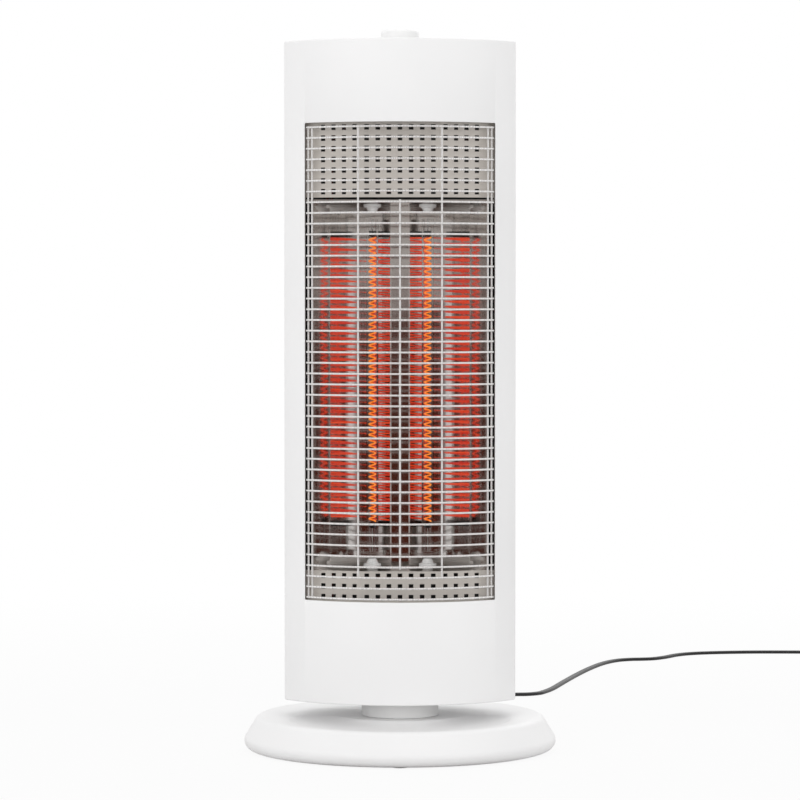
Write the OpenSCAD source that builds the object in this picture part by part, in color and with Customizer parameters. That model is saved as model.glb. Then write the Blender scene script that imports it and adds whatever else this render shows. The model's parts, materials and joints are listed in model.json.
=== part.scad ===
// Upright carbon heater: two glowing tubes in a polished reflector, behind a wire guard,
// in a body that swings on a round weighted base. Millimetres. The front faces -Y, +X is to
// the right seen from the front, +Z is up, and the origin is on the floor at the base's middle.

/* [Heater body] */
// Width of the body across its side flats
body_w = 206.8; // [200:0.2:214]
// Depth of the body in front of the swivel axis, at its middle
body_front = 60; // [58:0.5:64]
// Depth of the body behind the swivel axis, at its middle
body_back = 70; // [68:0.5:76]
// Radius of the curved front, seen from above
front_r = 135; // [130:1:150]
// Radius of the curved back, seen from above
back_r = 120; // [116:1:130]
// Height of the body, from its lower edge to its upper edge
body_h = 589; // [585:1:610]
// Wall of the front panel and the rear cover
wall = 1.8; // [1.5:0.1:2.2]
// Where the front panel meets the rear cover, behind the swivel axis
seam_y = 2; // [0:0.5:6]
// Thickness of the top cap and of the bottom cap
cap_t = 3; // [2.5:0.1:4]

/* [Window and guard] */
// Width of the window in the front panel
window_w = 169.2; // [166:0.2:172]
// Height of the window
window_h = 424; // [418:1:428]
// Lower edge of the window above the body's lower edge
window_rise = 91.5; // [88:0.5:96]
// Diameter of the guard's wires
wire_d = 1.8; // [1.6:0.1:2]
// Distance from one guard wire to the next
wire_pitch = 9.49; // [9:0.01:11]
// How far the guard's wires lie behind the panel's outer face
guard_inset = 1.1; // [0.9:0.1:1.6]
// Place of the two wide-spaced uprights, from the middle
upright_x = 37; // [30:0.5:45]

/* [Vent plates] */
// Height of the upper vent plate
upper_plate_h = 65; // [58:1:68]
// Height of the lower vent plate
lower_plate_h = 26; // [24:0.5:28]
// Thickness of the sheet that the vent plates and the reflector's end plates are cut from
sheet_t = 0.8; // [0.7:0.1:1]
// Depth of the vent plates' middle facet in front of the swivel axis
plate_front = 38; // [36:0.5:39]
// Half the width of the middle facet
plate_bend_x = 35.7; // [34:0.1:37]
// Angle of the side facets
plate_angle = 18.6; // [17:0.1:19.5]
// Width of one vent slot
slot = 4.1; // [3.6:0.1:4.6]
// Height of one vent slot
slot_h = 4.9; // [4.2:0.1:5.2]
// Distance from one vent slot to the next, along the plate
slot_pitch = 9.84; // [9.6:0.02:10.2]

/* [Heating unit] */
// Distance of each tube from the middle
tube_x = 25; // [24:0.5:26]
// Outer diameter of a quartz tube
tube_d = 11; // [10.6:0.2:12]
// Wall of a quartz tube
tube_wall = 1; // [0.8:0.1:1.1]
// Outer diameter of the carbon coil
coil_d = 7; // [6:0.2:7.6]
// Thickness of the carbon strand
strand_d = 1.6; // [1.2:0.1:1.8]
// Turns in each carbon coil
coil_turns = 40; // [30:1:42]
// Unlit length at the lower end of each tube
cold_bottom = 26.5; // [20:0.5:36]
// Unlit length at the upper end of each tube
cold_top = 15.5; // [14:0.5:26]
// Focal length of each reflector trough
focal = 12.5; // [11:0.5:14]
// How far behind the swivel axis each trough is deepest
trough_back = 26; // [25:0.5:27]
// How far out from its tube each trough is deepest
trough_out = 3; // [2:0.5:4]
// Half the width of the flat ridge between the two troughs
ridge_x = 8; // [4:0.5:9]
// Half the width of the reflector, to the edge of its wings
reflector_x = 78; // [76:0.5:79]

/* [Base] */
// Diameter of the round base
base_d = 280; // [274:1:300]
// Height of the base's top face above the floor
base_h = 31; // [30:0.5:34]
// Radius of the rounding between the base's top and its slope
shoulder_r = 8; // [6:0.5:9]
// How far the middle of that rounding lies in from the base's edge
shoulder_in = 16.5; // [15:0.5:18]
// Radius of the tucked-in lower edge
toe_r = 8; // [7:0.5:9]
// Wall of the base moulding
base_wall = 2.8; // [2.4:0.1:3]
// Radius of the middle line of the crescent hollow in the base's top
dish_r = 86; // [84:0.5:88]
// Half the width of the crescent hollow
dish_half = 38; // [34:0.5:39]
// Depth of the crescent hollow
dish_depth = 5; // [4:0.5:6]
// How far each end of the hollow is turned from the front
dish_turn = 92; // [84:1:94]
// How much nearer to the base's middle the ends of that line come
dish_bend = 10; // [6:1:12]
// Height of the rubber feet's lower faces below the base's lower edge
foot_drop = 1; // [0.8:0.1:1.4]
// Thickness of the steel ballast plate
ballast_t = 3; // [2:0.5:4]

/* [Swivel] */
// Diameter of the collar that shows between the body and the base
collar_d = 69; // [66:0.5:72]
// Gap between the base's top and the body's lower edge
neck_h = 14.5; // [14:0.5:17]
// Outer diameter of the swivel post
post_d = 30; // [29:0.5:31]
// Inner diameter of the swivel post
post_bore = 22; // [20:0.5:23]
// Radial running clearance of the swivel
swivel_fit = 0.05; // [0.03:0.01:0.08]
// Half of the whole swing, to each side, in degrees
swing = 30; // [24:1:31]
// Distance of the motor's shaft from the swivel axis
crank_reach = 30; // [29.5:0.1:31]
// Diameter of the crank's pin
crank_pin_d = 6; // [5:0.2:6.6]
// Clearance on each side of the crank's pin in the arm's slot
crank_fit = 1.1; // [1.05:0.05:1.4]

/* [Knob] */
// Diameter of the rotary knob
knob_d = 34.2; // [32:0.2:38]
// Height of the knob
knob_h = 9.8; // [9:0.2:12]
// Gap between the knob and the top cap
knob_gap = 0.5; // [0.4:0.1:0.8]
// Diameter of the rotary switch's shaft
shaft_d = 6; // [5:0.1:6.4]

/* [Cord] */
// Width of the flat two-core cord
cord_w = 6.6; // [6.2:0.1:7]
// Thickness of the flat two-core cord
cord_t = 3.4; // [3:0.1:3.6]
// Turns in each of the two layers of the stored coil
coil_loops = 0.875; // [0.75:0.125:1.375]

/* [Hidden] */

// Gap left between pieces that are only laid side by side
lay_gap = 0.1;
// Gap between faces of two bodies that turn against each other
turn_gap = 0.3;
// Fit of the caps inside the body's walls
cap_fit = 0.2;
round_fn = 180;
small_fn = 48;

base_r = base_d / 2;
base_z0 = foot_drop;
body_z0 = base_h + neck_h;
body_z1 = body_z0 + body_h;
window_z0 = body_z0 + window_rise;
window_z1 = window_z0 + window_h;
front_c = front_r - body_front;
back_c = body_back - back_r;
// The heating unit's lower and upper end, and the heat shield behind it
heat_z0 = window_z0 + lower_plate_h - 2.2;
heat_z1 = window_z1 - upper_plate_h - 3.5;
shield_y = trough_back + 17;

// Height of the curved front at a distance from the middle, on an arc set in from the face
function front_y(x, inset = 0) = front_c - sqrt(pow(front_r - inset, 2) - x * x);
function back_y(x, inset = 0) = back_c + sqrt(pow(back_r - inset, 2) - x * x);

// Tube running along a list of points, each ring given by its centre and its two half axes
function ring(c, u, v, sides) =
    [for (i = [0 : sides - 1]) c + u * cos(360 * i / sides) + v * sin(360 * i / sides)];
function unit(v) = v / norm(v);
function joined(lists) = [for (l = lists) for (p = l) p];
function tube_faces(rings, sides) = concat(
    [for (i = [1 : sides - 2]) [0, i, i + 1]],
    [for (r = [0 : rings - 2]) for (i = [0 : sides - 1]) let (j = (i + 1) % sides)
        each [[r * sides + i, (r + 1) * sides + j, r * sides + j],
              [r * sides + i, (r + 1) * sides + i, (r + 1) * sides + j]]],
    [for (i = [1 : sides - 2]) let (e = (rings - 1) * sides) [e, e + i + 1, e + i]]);
function heading(p, i) = unit(p[min(i + 1, len(p) - 1)] - p[max(i - 1, 0)]);
function least_gap(p, apart) = min([for (i = [0 : len(p) - 1]) for (j = [i + apart : 1 : len(p) - 1])
    norm(p[j] - p[i])]);

module swept(rings) {
    sides = len(rings[0]);
    polyhedron(points = joined(rings), faces = tube_faces(len(rings), sides), convexity = 6);
}

module tube(outer, inner, h) {
    difference() {
        cylinder(d = outer, h = h, $fn = round_fn);
        translate([0, 0, -1]) cylinder(d = inner, h = h + 2, $fn = round_fn);
    }
}

module rounded_plate(w, h, r) {
    square([w - 2 * r, h], center = true);
    square([w, h - 2 * r], center = true);
    for (x = [-1, 1], z = [-1, 1])
        translate([x * (w / 2 - r), z * (h / 2 - r)]) circle(r = r, $fn = small_fn);
}

// Base

// Half section of the base's outside, drawn in by an inset: a rounded shoulder, a straight slope
// that touches its circle and the toe's, and the toe
shoulder_at = [base_r - shoulder_in, base_h - shoulder_r];
toe_at = [base_r - toe_r, base_z0 + toe_r];
slope_turn = -atan2(shoulder_at[1] - toe_at[1], toe_at[0] - shoulder_at[0])
    + acos((shoulder_r - toe_r) / norm(toe_at - shoulder_at));
slope_out = [cos(slope_turn), sin(slope_turn)];

module base_section(inset) {
    translate(shoulder_at) circle(r = shoulder_r - inset, $fn = small_fn);
    translate(toe_at) circle(r = toe_r - inset, $fn = small_fn);
    polygon([
        [0, base_z0 + inset], [toe_at[0], base_z0 + inset], toe_at + (toe_r - inset) * slope_out,
        shoulder_at + (shoulder_r - inset) * slope_out, [shoulder_at[0], base_h - inset],
        [0, base_h - inset]]);
}

module base_section_right(inset) {
    intersection() {
        base_section(inset);
        square([base_r, base_h]);
    }
}

// The crescent hollow: a steep-sided bowl, bent round the base's middle. A point of it is given by
// its share of the way out from the hollow's middle and by its turn round that middle
dish_rise = 1;
dish_rings = 4;
dish_spokes = 28;

function rounder(v, power) = sign(v) * pow(abs(v), power);
function dish_point(share, turn, drop) = let (
        along = share * cos(turn),
        a = -90 + dish_turn * along,
        r = dish_r - dish_bend * along * along + dish_half * share * rounder(sin(turn), 0.8))
    [r * cos(a), r * sin(a),
     base_h + dish_rise - (dish_depth + dish_rise) * (1 - pow(share, 4)) - drop];

// Everything from the bowl, lowered by a drop, up to a level
module dish(level, drop) {
    bowl = [for (k = [1 : dish_rings]) for (j = [0 : dish_spokes - 1])
        dish_point(k / dish_rings, 360 * j / dish_spokes, drop)];
    lid = [for (j = [0 : dish_spokes - 1])
        let (p = dish_point(1, 360 * j / dish_spokes, 0)) [p[0], p[1], level]];
    deepest = len(bowl) + len(lid);
    polyhedron(
        points = concat(bowl, lid, [dish_point(0, 0, drop), [0, -dish_r, level]]),
        faces = concat(
            [for (j = [0 : dish_spokes - 1]) [deepest, (j + 1) % dish_spokes, j]],
            [for (k = [0 : dish_rings - 1]) for (j = [0 : dish_spokes - 1])
                let (i = (j + 1) % dish_spokes, m = k * dish_spokes, n = m + dish_spokes)
                each [[m + j, m + i, n + i], [m + j, n + i, n + j]]],
            [for (j = [0 : dish_spokes - 1])
                let (i = (j + 1) % dish_spokes, m = dish_rings * dish_spokes)
                [m + j, m + i, deepest + 1]]),
        convexity = 4);
}

hub_r = 34;
hub_z0 = 22;
plate_t = 1.2;
plate_z0 = base_z0 + 1.4;
plate_z1 = plate_z0 + plate_t;
plate_r = base_r - toe_r - 0.4;
// Bosses, switch and feet keep their distance from the base's edge
boss_r = base_r - 32;
boss_turns = [45, 117, 189, 261, 333];
gland_z = base_z0 + toe_r + 1.5;
gland_hole_d = 10;
base_boss_d = 9;
base_screw_len = 12;
flange_turns = [30, 150, 270];
switch_turn = 135;
switch_r = base_r - 44;
plunger_d = 6;
plunger_fit = 0.5;

module base_shell() color([0.95, 0.95, 0.94]) difference() {
    union() {
        difference() {
            rotate_extrude($fn = round_fn) base_section_right(0);
            rotate_extrude($fn = round_fn) base_section_right(base_wall);
            translate([0, 0, -1])
                cylinder(r = base_r - toe_r, h = base_z0 + toe_r + 1, $fn = round_fn);
        }
        dish(base_h - dish_rise, base_wall);
        translate([0, 0, hub_z0])
            cylinder(r = hub_r, h = base_h - base_wall / 2 - hub_z0, $fn = round_fn);
        for (a = boss_turns) rotate([0, 0, a]) translate([boss_r, 0, plate_z1])
            cylinder(d = base_boss_d, h = base_h - base_wall / 2 - plate_z1, $fn = small_fn);
    }
    dish(base_h + 2 * dish_rise, 0);
    translate([0, 0, hub_z0 - 1]) cylinder(d = post_d + 0.2, h = base_h, $fn = round_fn);
    for (a = boss_turns) rotate([0, 0, a]) translate([boss_r, 0, -1])
        cylinder(d = screw_d + 0.1, h = plate_z0 + base_screw_len + 1, $fn = small_fn);
    for (a = flange_turns) rotate([0, 0, a]) translate([flange_screw_r, 0, hub_z0 - 1])
        cylinder(d = screw_d + 0.1, h = flange_screw_in + 2, $fn = small_fn);
    translate([0, base_r - 20, gland_z]) rotate([-90, 0, 0])
        cylinder(d = gland_hole_d, h = 30, $fn = small_fn);
}

module base_plate() color([0.25, 0.25, 0.26]) difference() {
    translate([0, 0, plate_z0]) cylinder(r = plate_r, h = plate_t, $fn = round_fn);
    for (a = boss_turns) rotate([0, 0, a]) translate([boss_r, 0, 0])
        cylinder(d = screw_d + 0.6, h = 20, $fn = small_fn);
    rotate([0, 0, switch_turn]) translate([switch_r, 0, 0])
        cylinder(d = plunger_d + 2 * plunger_fit, h = 20, $fn = small_fn);
}

ballast_in = 38;
ballast_out = base_r - 60;

module ballast_plate() color([0.35, 0.35, 0.37]) translate([0, 0, plate_z1])
    tube(2 * ballast_out, 2 * ballast_in, ballast_t);

foot_d = 15;
foot_r = base_r - toe_r - foot_d / 2 - 3.5;

module rubber_feet() color([0.12, 0.12, 0.12])
    for (a = [54 : 72 : 342]) rotate([0, 0, a]) translate([foot_r, 0, 0])
        cylinder(d = foot_d, h = plate_z0, $fn = small_fn);

// Screws: one size of shank and head through the whole heater
screw_d = 3;
head_d = 5.6;
head_h = 1.8;
low_head_h = 1.2;

module screw(length) {
    cylinder(d = screw_d, h = length, $fn = small_fn);
    translate([0, 0, -head_h]) cylinder(d = head_d, h = head_h, $fn = small_fn);
}

module base_screws() color([0.6, 0.6, 0.62])
    for (a = boss_turns) rotate([0, 0, a]) translate([boss_r, 0, plate_z0])
        difference() {
            translate([0, 0, -low_head_h]) union() {
                cylinder(d = screw_d, h = base_screw_len, $fn = small_fn);
                cylinder(d = head_d, h = low_head_h, $fn = small_fn);
            }
            translate([0, 0, -low_head_h - 1]) cylinder(d = 2, h = 1.5, $fn = 6);
        }

// Swivel: a hollow post bolted under the hub, a washer, and a collar that turns round the post

flange_t = 3;
flange_d = 62;
flange_screw_r = 25;
flange_screw_in = 6;
post_top = body_z0 + cap_t + 12.5;
washer_t = 0.7;
washer_d = 60;
collar_bore = post_d + 10;
collar_skirt = 2.5;
ring_h = 2.5;
collar_turns = [45 : 90 : 315];
collar_screw_r = collar_bore / 2 + 7;
collar_screw_len = 8;
// The caps' skirts stand inside the walls, and the bottom cap is set up from the lower edge
cap_rise = 1;
cap_skirt = 9;
cap_skirt_t = 1.6;
cap_z0 = body_z0 + cap_rise;
floor_z = cap_z0 + cap_t;
ring_z0 = floor_z + turn_gap;

module swivel_post() color([0.7, 0.7, 0.72]) difference() {
    union() {
        translate([0, 0, hub_z0 - flange_t]) cylinder(d = post_d, h = post_top - hub_z0 + flange_t,
            $fn = round_fn);
        translate([0, 0, hub_z0 - flange_t]) cylinder(d = flange_d, h = flange_t, $fn = round_fn);
    }
    cylinder(d = post_bore, h = post_top + 1, $fn = round_fn);
    for (a = flange_turns) rotate([0, 0, a]) translate([flange_screw_r, 0, 0])
        cylinder(d = screw_d + 0.6, h = hub_z0 + 1, $fn = small_fn);
}

module post_screws() color([0.6, 0.6, 0.62])
    for (a = flange_turns) rotate([0, 0, a])
        translate([flange_screw_r, 0, hub_z0 - flange_t]) screw(flange_t + flange_screw_in);

module thrust_washer() color([0.9, 0.88, 0.8]) translate([0, 0, base_h])
    tube(washer_d, post_d + 2 * swivel_fit, washer_t);

module swivel_collar() color([0.84, 0.84, 0.83]) difference() {
    translate([0, 0, base_h + turn_gap])
        cylinder(d = collar_d, h = cap_z0 - base_h - turn_gap, $fn = round_fn);
    translate([0, 0, base_h]) cylinder(d = collar_bore, h = neck_h + 2, $fn = round_fn);
    cylinder(d = collar_d - 2 * collar_skirt, h = base_h + washer_t + turn_gap, $fn = round_fn);
    for (a = collar_turns) rotate([0, 0, a])
        translate([collar_screw_r, 0, floor_z - collar_screw_len - 1])
            cylinder(d = screw_d + 0.1, h = collar_screw_len, $fn = small_fn);
}

module bearing_ring() color([0.9, 0.88, 0.8]) difference() {
    translate([0, 0, base_h + washer_t + turn_gap])
        cylinder(d = collar_bore - 0.1, h = floor_z - base_h - washer_t - turn_gap,
            $fn = round_fn);
    cylinder(d = post_d + 2 * swivel_fit, h = body_z1, $fn = round_fn);
}

module retaining_ring() color([0.7, 0.7, 0.72]) translate([0, 0, ring_z0])
    tube(collar_bore + 6, post_d + 2 * swivel_fit, ring_h);

module bottom_cap() color([0.93, 0.93, 0.92]) difference() {
    translate([0, 0, cap_z0]) linear_extrude(cap_t + cap_skirt) body_outline(wall + cap_fit);
    translate([0, 0, floor_z]) linear_extrude(cap_skirt + 1)
        body_outline(wall + cap_fit + cap_skirt_t);
    cylinder(d = collar_bore, h = body_z1, $fn = round_fn);
    for (a = collar_turns) rotate([0, 0, a]) translate([collar_screw_r, 0, 0])
        cylinder(d = screw_d + 0.2, h = body_z1, $fn = small_fn);
}

module collar_screws() color([0.6, 0.6, 0.62])
    for (a = collar_turns) rotate([0, 0, a])
        translate([collar_screw_r, 0, floor_z]) rotate([180, 0, 0]) screw(collar_screw_len);

// The arm is fixed on the post. Its slot drives the crank's pin as the body swings
arm_t = 3;
crank_r = crank_reach * tan(swing);
pin_y = crank_reach + crank_r;
arm_slot_w = crank_pin_d + 2 * crank_fit;
arm_slot_y = crank_reach - crank_pin_d / 2 - 3;
arm_end = pin_y + crank_pin_d / 2 + 1;
arm_w = arm_slot_w + 9;
arm_tip = 3;

module swing_arm() color([0.75, 0.75, 0.77]) translate([0, 0, post_top]) difference() {
    union() {
        cylinder(d = post_d, h = arm_t, $fn = round_fn);
        translate([-arm_w / 2, 0, 0]) cube([arm_w, arm_end + arm_tip, arm_t]);
    }
    translate([0, 0, -1]) cylinder(d = post_bore, h = arm_t + 2, $fn = round_fn);
    translate([-arm_slot_w / 2, arm_slot_y, -1])
        cube([arm_slot_w, arm_end - arm_slot_y, arm_t + 2]);
}

crank_z0 = post_top + arm_t + 3;
crank_t = 4;
bracket_z0 = crank_z0 + crank_t + 3.5;
bracket_t = 1.2;
bracket_x = 43;
motor_z0 = bracket_z0 + bracket_t;
bracket_y = [8, 52];
motor_shaft_d = 6;
motor_shaft_in = 6;
crank_w = 12;
crank_hub = [14, 6.5];

module crank_arm() color([0.9, 0.88, 0.8]) translate([0, crank_reach, 0]) difference() {
    union() {
        translate([0, 0, crank_z0]) cylinder(d = crank_hub[0], h = crank_hub[1], $fn = round_fn);
        translate([-crank_w / 2, 0, crank_z0]) cube([crank_w, crank_r, crank_t]);
        translate([0, crank_r, crank_z0]) cylinder(d = crank_w, h = crank_t, $fn = round_fn);
        translate([0, crank_r, post_top - 1])
            cylinder(d = crank_pin_d, h = crank_z0 - post_top + 2, $fn = round_fn);
    }
    translate([0, 0, crank_z0 - 1])
        cylinder(d = motor_shaft_d + 0.1, h = crank_hub[1] + 2, $fn = round_fn);
}

module motor_shaft() color([0.7, 0.7, 0.72]) translate([0, crank_reach, crank_z0])
    cylinder(d = motor_shaft_d, h = motor_z0 + motor_shaft_in - crank_z0, $fn = round_fn);

motor_d = 50;
motor_h = 18;
motor_ears = [68, 10, 1.5];

module swing_motor() color([0.72, 0.72, 0.74]) difference() {
    union() {
        translate([0, crank_reach, motor_z0]) cylinder(d = motor_d, h = motor_h, $fn = round_fn);
        translate([-motor_ears[0] / 2, crank_reach - motor_ears[1] / 2, motor_z0])
            cube(motor_ears);
    }
    translate([0, crank_reach, motor_z0 - 1])
        cylinder(d = motor_shaft_d + 2 * swivel_fit, h = motor_shaft_in + 3, $fn = round_fn);
}

module motor_bracket() color([0.78, 0.78, 0.8]) difference() {
    translate([-bracket_x, bracket_y[0], floor_z])
        cube([2 * bracket_x, bracket_y[1] - bracket_y[0], motor_z0 - floor_z]);
    translate([-bracket_x + bracket_t, 0, 0])
        cube([2 * (bracket_x - bracket_t), body_back, bracket_z0]);
    translate([0, crank_reach, 0]) cylinder(d = crank_hub[0] + 2, h = body_z1, $fn = round_fn);
}

// Tip-over switch in the base, with a plunger that the floor holds up

plunger_rise = 12;
plunger_head_room = 4.5;
tip_switch_box = [14, 24, 17];

module tip_switch() color([0.15, 0.15, 0.16])
    rotate([0, 0, switch_turn]) translate([switch_r, 0, 0]) difference() {
        translate([-tip_switch_box[0] / 2, -tip_switch_box[1] / 2, plate_z1]) cube(tip_switch_box);
        cylinder(d = plunger_d + 2 * plunger_fit, h = plunger_rise + plunger_head_room,
            $fn = small_fn);
    }

module tip_plunger() color([0.85, 0.2, 0.15])
    rotate([0, 0, switch_turn]) translate([switch_r, 0, 0])
        cylinder(d = plunger_d, h = plunger_rise, $fn = small_fn);

// Heater body

module body_outline(inset = 0) {
    intersection() {
        translate([0, front_c]) circle(r = front_r - inset, $fn = round_fn);
        translate([0, back_c]) circle(r = back_r - inset, $fn = round_fn);
        square([body_w - 2 * inset, 4 * body_w], center = true);
    }
}

module behind(y0, y1) {
    translate([-body_w, y0]) square([2 * body_w, y1 - y0]);
}

panel_screw_x = 95;
panel_screw_z = [body_z0 + 34, body_z0 + body_h / 2, body_z1 - 30];
pocket_y = seam_y + 6;
panel_boss_d = 8;
panel_screw_len = 12;
lip_t = 1.4;
seam_gap = 0.2;

window_corner_r = 1;

module front_panel() color([0.96, 0.96, 0.95]) difference() {
    union() {
        translate([0, 0, body_z0]) linear_extrude(body_h) difference() {
            intersection() {
                body_outline(0);
                behind(-body_front - 1, seam_y);
            }
            body_outline(wall);
        }
        intersection() {
            for (s = [-1, 1], z = panel_screw_z) translate([s * panel_screw_x, -body_front, z])
                rotate([-90, 0, 0])
                    cylinder(d = panel_boss_d, h = body_front + pocket_y - 2, $fn = small_fn);
            translate([0, 0, body_z0]) linear_extrude(body_h) body_outline(wall / 2);
        }
    }
    translate([0, front_y(window_w / 2, wall) + 2, (window_z0 + window_z1) / 2]) rotate([90, 0, 0])
        linear_extrude(body_front) rounded_plate(window_w, window_h, window_corner_r);
    for (s = [-1, 1], z = panel_screw_z)
        translate([s * panel_screw_x, pocket_y - panel_screw_len - 1, z]) rotate([-90, 0, 0])
            cylinder(d = screw_d + 0.1, h = panel_screw_len + 2, $fn = small_fn);
}

vent_w = 44;
vent_h = 4;
vent_pitch = 9;
vent_rows = 6;
// Lowest rows of the two sets of vents, behind the plain ends of the front panel
vent_z = [body_z0 + 26.5, body_z1 - 68.5];
spacer_x = 50;
spacer_z = [heat_z0 + 60, heat_z1 - 60];
spacer_d = 9;
pocket_d = 10;
// Room for the caps' skirts above and below the lip
lip_room = cap_t + cap_skirt + 4;

module rear_cover() color([0.95, 0.95, 0.94]) difference() {
    union() {
        translate([0, 0, body_z0]) linear_extrude(body_h) difference() {
            intersection() {
                body_outline(0);
                behind(seam_y + seam_gap, body_back + 1);
            }
            body_outline(wall);
        }
        translate([0, 0, body_z0 + lip_room]) linear_extrude(body_h - 2 * lip_room) {
            difference() {
                intersection() {
                    body_outline(wall - 0.3);
                    behind(seam_y + seam_gap, seam_y + 5);
                }
                body_outline(wall + cap_fit + lip_t);
            }
            difference() {
                intersection() {
                    body_outline(wall + cap_fit);
                    behind(seam_y - 5, seam_y + 4);
                }
                body_outline(wall + cap_fit + lip_t);
            }
        }
        intersection() {
            union() {
                for (s = [-1, 1], z = panel_screw_z) translate([s * panel_screw_x, pocket_y - 2 + 0.1, z])
                    rotate([-90, 0, 0]) cylinder(d = pocket_d, h = 40, $fn = small_fn);
                for (s = [-1, 1], z = spacer_z) translate([s * spacer_x, shield_y + sheet_t, z])
                    rotate([-90, 0, 0]) cylinder(d = spacer_d, h = 40, $fn = small_fn);
            }
            translate([0, 0, body_z0]) linear_extrude(body_h) body_outline(wall / 2);
        }
    }
    for (s = [-1, 1], z = panel_screw_z) {
        translate([s * panel_screw_x, pocket_y, z]) rotate([-90, 0, 0])
            cylinder(d = head_d + 1.4, h = 60, $fn = small_fn);
        translate([s * panel_screw_x, pocket_y - 4, z]) rotate([-90, 0, 0])
            cylinder(d = screw_d + 0.4, h = 60, $fn = small_fn);
    }
    for (row = [0 : vent_rows - 1], col = [-1 : 1], z = vent_z)
        translate([col * (vent_w + 8) - vent_w / 2, 30, z + row * vent_pitch])
            cube([vent_w, 60, vent_h]);
}

module rear_screws() color([0.6, 0.6, 0.62])
    for (s = [-1, 1], z = panel_screw_z) translate([s * panel_screw_x, pocket_y, z])
        rotate([90, 0, 0]) screw(panel_screw_len);

module top_cap() color([0.96, 0.96, 0.95]) difference() {
    translate([0, 0, body_z1 - cap_t - cap_skirt]) linear_extrude(cap_t + cap_skirt)
        body_outline(wall + cap_fit);
    translate([0, 0, body_z1 - cap_t - cap_skirt - 1]) linear_extrude(cap_skirt + 1)
        body_outline(wall + cap_fit + cap_skirt_t);
    translate([0, 0, body_z1 - 2 * cap_t]) cylinder(d = bush_d + 0.2, h = 3 * cap_t, $fn = small_fn);
}

// Guard

guard_r = front_r - guard_inset - wire_d / 2;
wire_n = floor((window_h - 2 * wire_d) / wire_pitch) + 1;
wire_z0 = window_z0 + (window_h - (wire_n - 1) * wire_pitch) / 2 - 0.7;
leg_x = window_w / 2 - 0.6;
wire_turn = asin((leg_x - lay_gap) / (guard_r + wire_d / 2));
upright_r = guard_r - wire_d - 0.02;
outer_upright_x = leg_x - 2.6;
upright_step = 3.4;

module guard_wires() color("silver")
    for (i = [0 : wire_n - 1]) translate([0, front_c, wire_z0 + i * wire_pitch])
        rotate([0, 0, -90 - wire_turn]) rotate_extrude(angle = 2 * wire_turn, $fn = round_fn)
            translate([guard_r, 0]) circle(d = wire_d, $fn = 24);

mid_upright_z = [wire_z0 + 3 * wire_pitch - 2, wire_z0 + 37 * wire_pitch + 2];

module guard_uprights() color("silver") {
    for (s = [-1, 1], x = [outer_upright_x - upright_step, outer_upright_x])
        translate([s * x, front_c - sqrt(upright_r * upright_r - x * x), wire_z0 - 1])
            cylinder(d = wire_d, h = (wire_n - 1) * wire_pitch + 2, $fn = 24);
    for (s = [-1, 1])
        translate([s * upright_x, front_c - sqrt(upright_r * upright_r - upright_x * upright_x),
            wire_z0 + 2 * wire_pitch - 1])
            cylinder(d = wire_d, h = (wire_n - 3) * wire_pitch + 2, $fn = 24);
    translate([0, front_c - upright_r, mid_upright_z[0]])
        cylinder(d = wire_d, h = mid_upright_z[1] - mid_upright_z[0], $fn = 24);
}

// Strips behind the window's two long edges, which the guard and the plates are welded to
strip_t = 1;
strip_back = 6;
strip_w = 6.5;

module guard_side_strips() color("silver")
    for (s = [0, 1]) mirror([s, 0, 0]) translate([0, 0, window_z0 - 6])
        linear_extrude(window_h + 12) {
            intersection() {
                translate([0, front_c]) difference() {
                    circle(r = front_r - wall - lay_gap, $fn = round_fn);
                    circle(r = front_r - wall - lay_gap - strip_t, $fn = round_fn);
                }
                translate([leg_x, -body_front]) square([strip_w, body_front]);
            }
            translate([leg_x, front_y(leg_x, wall + lay_gap + strip_t / 2)])
                square([strip_t, -strip_back - front_y(leg_x, wall + lay_gap + strip_t / 2)]);
        }

// Vent plates: a middle facet and two side facets, with a grid of slots

plate_edge_y = -plate_front + (leg_x - plate_bend_x) * tan(plate_angle);

module plate_section() {
    polygon([
        [-leg_x + lay_gap, plate_edge_y], [-plate_bend_x, -plate_front],
        [plate_bend_x, -plate_front], [leg_x - lay_gap, plate_edge_y],
        [leg_x - lay_gap, plate_edge_y + sheet_t], [plate_bend_x, -plate_front + sheet_t],
        [-plate_bend_x, -plate_front + sheet_t], [-leg_x + lay_gap, plate_edge_y + sheet_t]
    ]);
}

module vent_plate(z0, h, rows, row_z0) difference() {
    translate([0, 0, z0]) linear_extrude(h) plate_section();
    for (row = [0 : rows - 1]) translate([0, 0, row_z0 + row * wire_pitch - slot_h / 2]) {
        for (col = [-3 : 3]) translate([col * slot_pitch - slot / 2, -plate_front - 1, 0])
            cube([slot, 4, slot_h]);
        for (s = [0, 1], col = [1 : 4]) mirror([s, 0, 0])
            translate([plate_bend_x, -plate_front, 0]) rotate([0, 0, plate_angle])
                translate([(col - 0.7) * slot_pitch, -2, 0]) cube([slot, 6, slot_h]);
    }
}

upper_rows = floor((upper_plate_h - slot_h) / wire_pitch) + 1;
lower_rows = floor((lower_plate_h - slot_h / 2) / wire_pitch) + 1;
top_wire_z = wire_z0 + (wire_n - 1) * wire_pitch;
// Heights of the slot rows' middles above the wires in front of them
upper_slot_rise = 0.1;
lower_slot_rise = 0.1;

module upper_vent_plate() color([0.71, 0.69, 0.66])
    vent_plate(window_z1 - upper_plate_h - 1, upper_plate_h + 3, upper_rows,
        top_wire_z + upper_slot_rise - (upper_rows - 1) * wire_pitch);

module lower_vent_plate() color([0.71, 0.69, 0.66])
    vent_plate(window_z0 - 3, lower_plate_h + 3, lower_rows, wire_z0 + lower_slot_rise);

// Heating unit

lip_x = tube_x + 38;
tube_y = trough_back - focal + 1.5;
wing_y = -16;

function trough_y(x, out = 0) = trough_back + out
    - pow(max(abs(x), ridge_x) - tube_x - trough_out, 2) / (4 * focal);

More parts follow.
